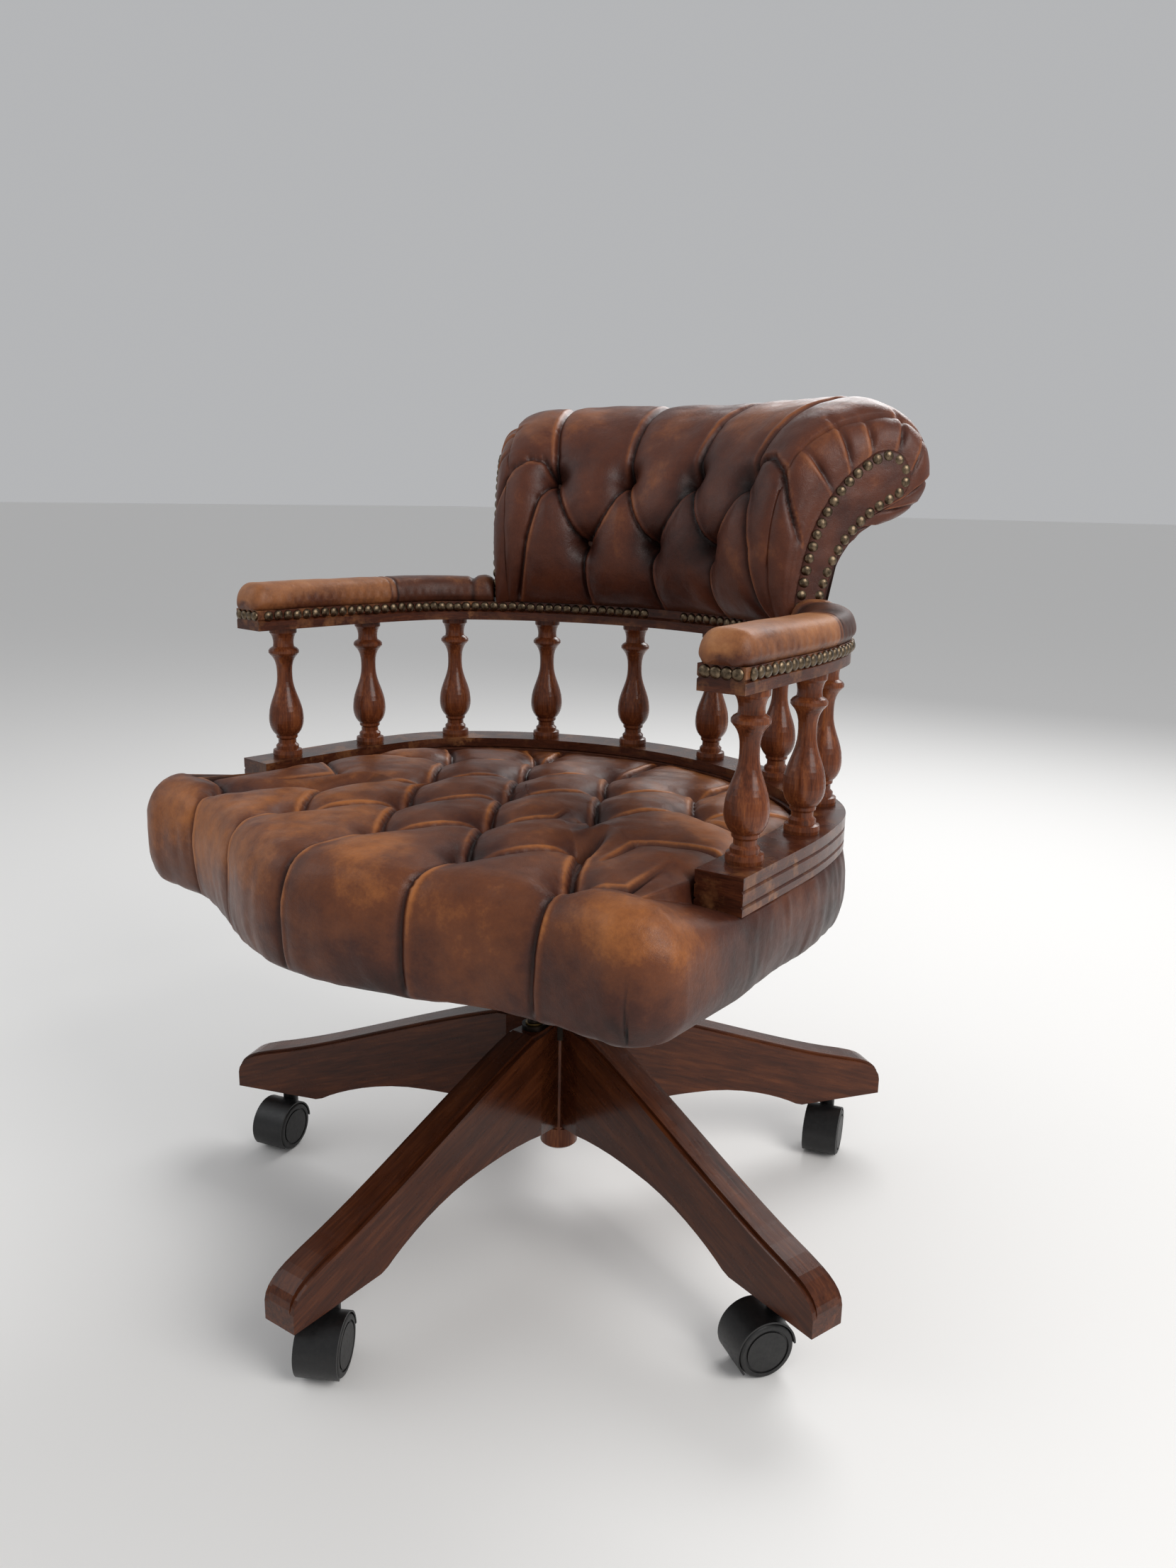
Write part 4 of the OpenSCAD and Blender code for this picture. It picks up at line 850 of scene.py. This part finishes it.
# Darker down the rear of the roll: painted shade
back_wear_and_shade -= 0.14 * smooth(V, q_end * 0.62, q_end * 0.8)
back_wear_and_shade += 0.14 * waves(back_pts, 7, 41, 2)
n_v, k_v = moved_b.shape[:2]
verts = moved_b.reshape(-1, 3)
faces = sheet_faces(n_v, k_v, wrap_k=True)
if flip:
    faces = faces[:, ::-1]
faces = [tuple(f) for f in faces]
left_end, right_end = list(range(k_v)), [(n_v - 1) * k_v + j for j in range(k_v)]
c0, c1 = len(verts), len(verts) + 1
verts = np.vstack([verts, moved_b[0].mean(0), moved_b[-1].mean(0)])
for j in range(k_v):
    a, b = left_end[j], left_end[(j + 1) % k_v]
    faces.append((a, b, c0) if not flip else (b, a, c0))
    a, b = right_end[j], right_end[(j + 1) % k_v]
    faces.append((b, a, c1) if not flip else (a, b, c1))
wear_and_shade_values = np.append(back_wear_and_shade.reshape(-1), [0.3, 0.3])
back = make("back_leather", verts, faces, "seat", BACK_LEATHER, wear_and_shade_values, ("back_cushion",))

places = []
for u, vq in top_b + low_b:
    i = np.argmin((UV[..., 0] - u) ** 2 + (UV[..., 1] - vq) ** 2)
    i, j = np.unravel_index(i, UV.shape[:2])
    axis = normal[i, j] * np.array([1, 1, 0.5])
    places.append((moved_b[i, j] + normal[i, j] * 0.001, axis))
v, f = placed(dome(0.0082, 0.0042, 0.004), places)
make("back_button_heads", v, f, "seat", BUTTON_LEATHER, np.full(len(v), 0.5), ("back_buttons",))

# End panels: a shallow puffed face inside the line of nails
front_side, arc, rear = panel_line(0.0042)
front_half = resample(np.vstack([front_side, arc[:10]]), 60)
rear_half = resample(np.vstack([arc[9:], rear])[::-1], 60)
J = 15
t = np.linspace(0, 1, J)
line = front_half[:, None] * (1 - t)[None, :, None] + rear_half[:, None] * t[None, :, None]
lengthwise = smooth(np.arange(60), 0, 4)[:, None] * (1 - smooth(np.arange(60), 54, 59))[:, None]
height = 0.0026 * (1 - np.abs(2 * t - 1) ** 5)[None, :] * lengthwise
height = height + 0.0004 * waves(line, 26, 3, 2)
panel_v, panel_f, panel_r = [], [], []
for sx in (-1, 1):
    outside = sweep_point(BACK_LEN + 0.0001 + height, line[..., 0], line[..., 1])
    inside = sweep_point(BACK_LEN - 0.004 + 0 * height, line[..., 0], line[..., 1])
    outside[..., 0] *= sx
    inside[..., 0] *= sx
    base = sum(len(a) for a in panel_v)
    panel_v += [outside.reshape(-1, 3), inside.reshape(-1, 3)]
    q1 = sheet_faces(60, J)
    q2 = sheet_faces(60, J)[:, ::-1] + 60 * J
    loop = [i * J for i in range(60)] + [59 * J + j for j in range(1, J)]
    loop += [i * J + J - 1 for i in range(58, -1, -1)] + [j for j in range(J - 2, 0, -1)]
    ahead_of = loop[1:] + loop[:1]
    sides = [(a, b, b + 60 * J, a + 60 * J) for a, b in zip(loop, ahead_of)]
    fs = [tuple(x) for x in q1[:, ::-1]] + [tuple(x) for x in q2[:, ::-1]] + sides
    if sx < 0:
        fs = [tuple(x[::-1]) for x in fs]
    panel_f += [tuple(int(i) + base for i in x) for x in fs]
    panel_r += [np.clip(0.45 + 0.12 * waves(line, 18, 7, 2).reshape(-1), 0, 1), np.full(60 * J, 0.3)]
make("back_end_faces", np.vstack(panel_v), panel_f, "seat", BACK_LEATHER, np.concatenate(panel_r),
     ("back_end_panels",))

# Nails round the end panels
a, b, c = panel_line(-0.0015)
line = np.vstack([a, b, c])
length = np.linalg.norm(np.diff(line, axis=0), axis=1).sum()
n_nails = int((length - 0.010) / 0.011) + 1
d = np.concatenate([[0], np.cumsum(np.linalg.norm(np.diff(line, axis=0), axis=1))])
at = 0.006 + 0.011 * np.arange(n_nails)
nail_pts = np.stack([np.interp(at, d, line[:, i]) for i in range(2)], -1)
places = []
rng = np.random.default_rng(3)
for sx in (-1, 1):
    tangent = np.array([sx * math.cos(HALF_TURN), -math.sin(HALF_TURN), 0])
    for o, z in nail_pts:
        p = sweep_point(np.array(BACK_LEN + 0.0012), np.array(o), np.array(z)) * np.array([sx, 1, 1])
        places.append((p, tangent + rng.normal(size=3) * 0.06))
NAIL_SHAPE = dome(0.0050, 0.0031, 0.0016, 6, 18, 0.06)
v, f = placed(NAIL_SHAPE, places)
make("back_nail_heads", v, f, "seat", NAIL, None, ("back_nails",))

# ---- Arm pads ----
PAD_HALF, PAD_H = 0.0225, 0.026


def pad_section(n=72):
    """Cross-section of an arm pad, from its inner foot over the round top to its outer foot."""
    a = np.linspace(0, np.pi, n)
    c, s = np.cos(a), np.sin(a)
    x = -np.sign(c) * np.abs(c) ** 0.62 * PAD_HALF
    z = np.abs(s) ** 0.70 * PAD_H
    x = x * (1 - 0.16 * np.exp(-(z / 0.004) ** 2))
    return np.stack([x, z], -1)


for sx, cad in ((1, "arm_pad_right"), (-1, "arm_pad_left")):
    s0, s1 = BACK_LEN + 0.0032, UPPER_LEN + 0.003
    stations = np.concatenate([s0 + 0.012 * (1 - np.cos(np.linspace(0, np.pi / 2, 10)))[:-1],
                               np.linspace(s0 + 0.012, s1 - 0.014, 240),
                               s1 - 0.014 + 0.014 * np.sin(np.linspace(0, np.pi / 2, 14))[1:]])
    sec = pad_section()
    rings = []
    for s in stations:
        u0 = max(0.0, (s0 + 0.012 - s) / 0.012)
        u1 = max(0.0, (s - (s1 - 0.014)) / 0.014)
        k0 = 1 - (1 - math.sqrt(max(0.0, 1 - u0 * u0))) * 0.30
        k1 = 1 - (1 - math.sqrt(max(0.0, 1 - u1 * u1))) * 0.62
        k = min(k0, k1)
        lip = (0.0016 * math.exp(-((s - s0 - 0.010) / 0.010) ** 2)
               - 0.0030 * math.exp(-((s - s0 - 0.024) / 0.0035) ** 2))
        x = sec[:, 0] * (1 - (1 - k) * 0.8)
        z = sec[:, 1] * k + lip * np.sin(np.linspace(0, np.pi, len(sec)))
        xy = rail(np.full(len(sec), s), x - INSET)
        rings.append(np.stack([xy[:, 0] * sx, xy[:, 1], UPPER_TOP + 0.0003 + np.maximum(z, 0)], -1))
    rings = np.array(rings)
    n = grid_normals(rings)
    if n[120, 36, 2] < 0:
        n = -n
        flip = True
    else:
        flip = False
    lift = np.sin(np.linspace(0, np.pi, rings.shape[1]))[None, :]
    ripple = waves(rings, 9, 51, 3) * 0.0008
    side = np.abs(np.linspace(-1, 1, rings.shape[1]))[None, :]
    pulls = 0.0003 * np.sin(2 * np.pi * stations / 0.011)[:, None] * smooth(side, 0.62, 0.92)
    pulls = pulls * (1 - smooth(side, 0.93, 1.0))
    ends = smooth(stations, s0, s0 + 0.008) * (1 - smooth(stations, s1 - 0.006, s1))
    seam = np.exp(-((stations - 0.341) / 0.0016) ** 2) + 0.5 * np.exp(-((stations - 0.349) / 0.0016) ** 2)
    seam = seam[:, None]
    rings = rings + n * ((ripple * lift + pulls - 0.0012 * seam * lift) * ends[:, None])[..., None]
    rings[..., 2] = np.maximum(rings[..., 2], UPPER_TOP + 0.0003)
    fore = smooth(stations, 0.330, 0.352)[:, None]
    # Colour level of the arm pads: lighter across the top than down the sides, partly wear and partly painted
    # light from above, and lighter towards the front
    pad_wear_and_shade = 0.20 + 0.12 * lift + fore * (0.28 + 0.16 * lift) + 0.14 * waves(rings, 9, 61, 2)
    if sx > 0:
        pad_wear_and_shade = pad_wear_and_shade + (1 - fore) * 0.35 * (1 - smooth(stations, s0 + 0.018, s0 + 0.030))[:, None]
    # Darker in the dip behind the pad's lip and along the seam: painted shade
    pad_wear_and_shade = pad_wear_and_shade - 0.35 * np.exp(-((stations[:, None] - s0 - 0.024) / 0.003) ** 2) - 0.4 * seam
    n_v, k_v = rings.shape[:2]
    faces = sheet_faces(n_v, k_v, wrap_k=True)
    if flip:
        faces = faces[:, ::-1]
    faces = [tuple(f) for f in faces]
    verts = np.vstack([rings.reshape(-1, 3), rings[0].mean(0), rings[-1].mean(0)])
    c0, c1 = len(verts) - 2, len(verts) - 1
    for j in range(k_v):
        a, b = j, (j + 1) % k_v
        faces.append((a, b, c0) if not flip else (b, a, c0))
        a, b = (n_v - 1) * k_v + j, (n_v - 1) * k_v + (j + 1) % k_v
        faces.append((b, a, c1) if not flip else (a, b, c1))
    wear_and_shade_values = np.append(np.broadcast_to(pad_wear_and_shade, (n_v, k_v)).reshape(-1), [0.4, 0.4])
    pad = make(cad + "_leather", verts, faces, "seat", PAD_LEATHER, wear_and_shade_values, (cad,))

# Nails along the upper rail's faces
places = []
PITCH, NAIL_D = 0.011, 0.010
nail_z = UPPER_TOP - NAIL_D / 2 - 0.0004
i = 0
while (i + 0.5) * PITCH < UPPER_LEN - NAIL_D / 2:
    s = (i + 0.5) * PITCH
    h = heading(s)
    o = out_dir(h)
    for sx in (-1, 1):
        for face in ((1,) if s <= 0.026 else (1, -1)):
            p = rail(np.array(s), face * 0.0195 - INSET)
            w = rng.normal(size=3) * np.array([0.07, 0.07, 0.07])
            z = nail_z + rng.normal() * 0.0003
            places.append(((sx * p[0], p[1], z), np.array([sx * o[0] * face, o[1] * face, 0]) + w))
    i += 1
o = on_dir(TURN_3)
for x in (-1.5, -0.5, 0.5, 1.5):
    for sx in (-1, 1):
        p = rail(np.array(UPPER_LEN), x * PITCH * 0.8 - INSET)
        places.append(((sx * p[0], p[1], nail_z), (sx * o[0], o[1], 0)))
v, f = placed(NAIL_SHAPE, places)
make("rail_nail_heads", v, f, "seat", NAIL, None, ("rail_nails",))

# ---- Tension spring, a coil built to fit the part's box ----
low, high = (np.array(corner) - np.array([AX, AY, 0]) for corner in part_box("tilt_spring"))
WIRE_R = 0.0015
COIL_TURNS = 4.5
RING, STEPS = 12, 180
# The coil's radius, from the width of the part's box
coil_r = (high[0] - low[0]) / 2 - WIRE_R
turn = np.linspace(0, COIL_TURNS * 2 * math.pi, STEPS)[:, None]
around = (np.arange(RING) * 2 * math.pi / RING)[None, :]
reach = coil_r + WIRE_R * np.cos(around)
rise = low[2] + WIRE_R + (high[2] - low[2] - 2 * WIRE_R) * turn / turn[-1]
v = np.stack([(low[0] + high[0]) / 2 + reach * np.cos(turn), (low[1] + high[1]) / 2 + reach * np.sin(turn),
              rise + WIRE_R * np.sin(around)], -1).reshape(-1, 3)
f = [tuple(q) for q in sheet_faces(STEPS, RING, wrap_k=True)]
f += [tuple(range(RING)), tuple(range(STEPS * RING - 1, STEPS * RING - RING - 1, -1))]
spring = make("tension_coil", v, f, "seat", STEEL, None, ("tilt_spring",))
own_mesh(spring)

# ---- Floor, light ----
mat, tree, shader = material("floor")
shader.inputs["Base Color"].default_value = rgb(240, 239, 237)
shader.inputs["Roughness"].default_value = 0.75
mesh = bpy.data.meshes.new("floor")
mesh.from_pydata([(-60, -60, 0), (60, -60, 0), (60, 60, 0), (-60, 60, 0)], [], [(0, 1, 2, 3)])
mesh.materials.append(mat)
floor = bpy.data.objects.new("floor", mesh)
scene.collection.objects.link(floor)

world = bpy.data.worlds.new("world")
scene.world = world
world.use_nodes = True
world.node_tree.nodes["Background"].inputs["Color"].default_value = (0.92, 0.93, 0.95, 1)
world.node_tree.nodes["Background"].inputs["Strength"].default_value = 0.5


def lamp(name, place, target, size, power, colour=(1, 1, 1)):
    light = bpy.data.lights.new(name, "AREA")
    light.shape = "RECTANGLE"
    light.size, light.size_y = size
    light.energy = power
    light.color = colour
    o = bpy.data.objects.new(name, light)
    o.location = place
    o.rotation_euler = (Vector(target) - Vector(place)).to_track_quat("-Z", "Y").to_euler()
    scene.collection.objects.link(o)


lamp("key", (2.2, -0.2, 1.9), (0, 0, 0.4), (1.5, 1.5), 40, (1, 0.98, 0.96))
lamp("fill", (-1.6, -1.5, 1.9), (0, 0, 0.4), (1.6, 1.6), 9, (0.96, 0.98, 1))
lamp("rim", (-0.3, 2.2, 2.0), (0, 0, 0.5), (1.8, 1.0), 34)
scene.view_settings.view_transform = "Standard"
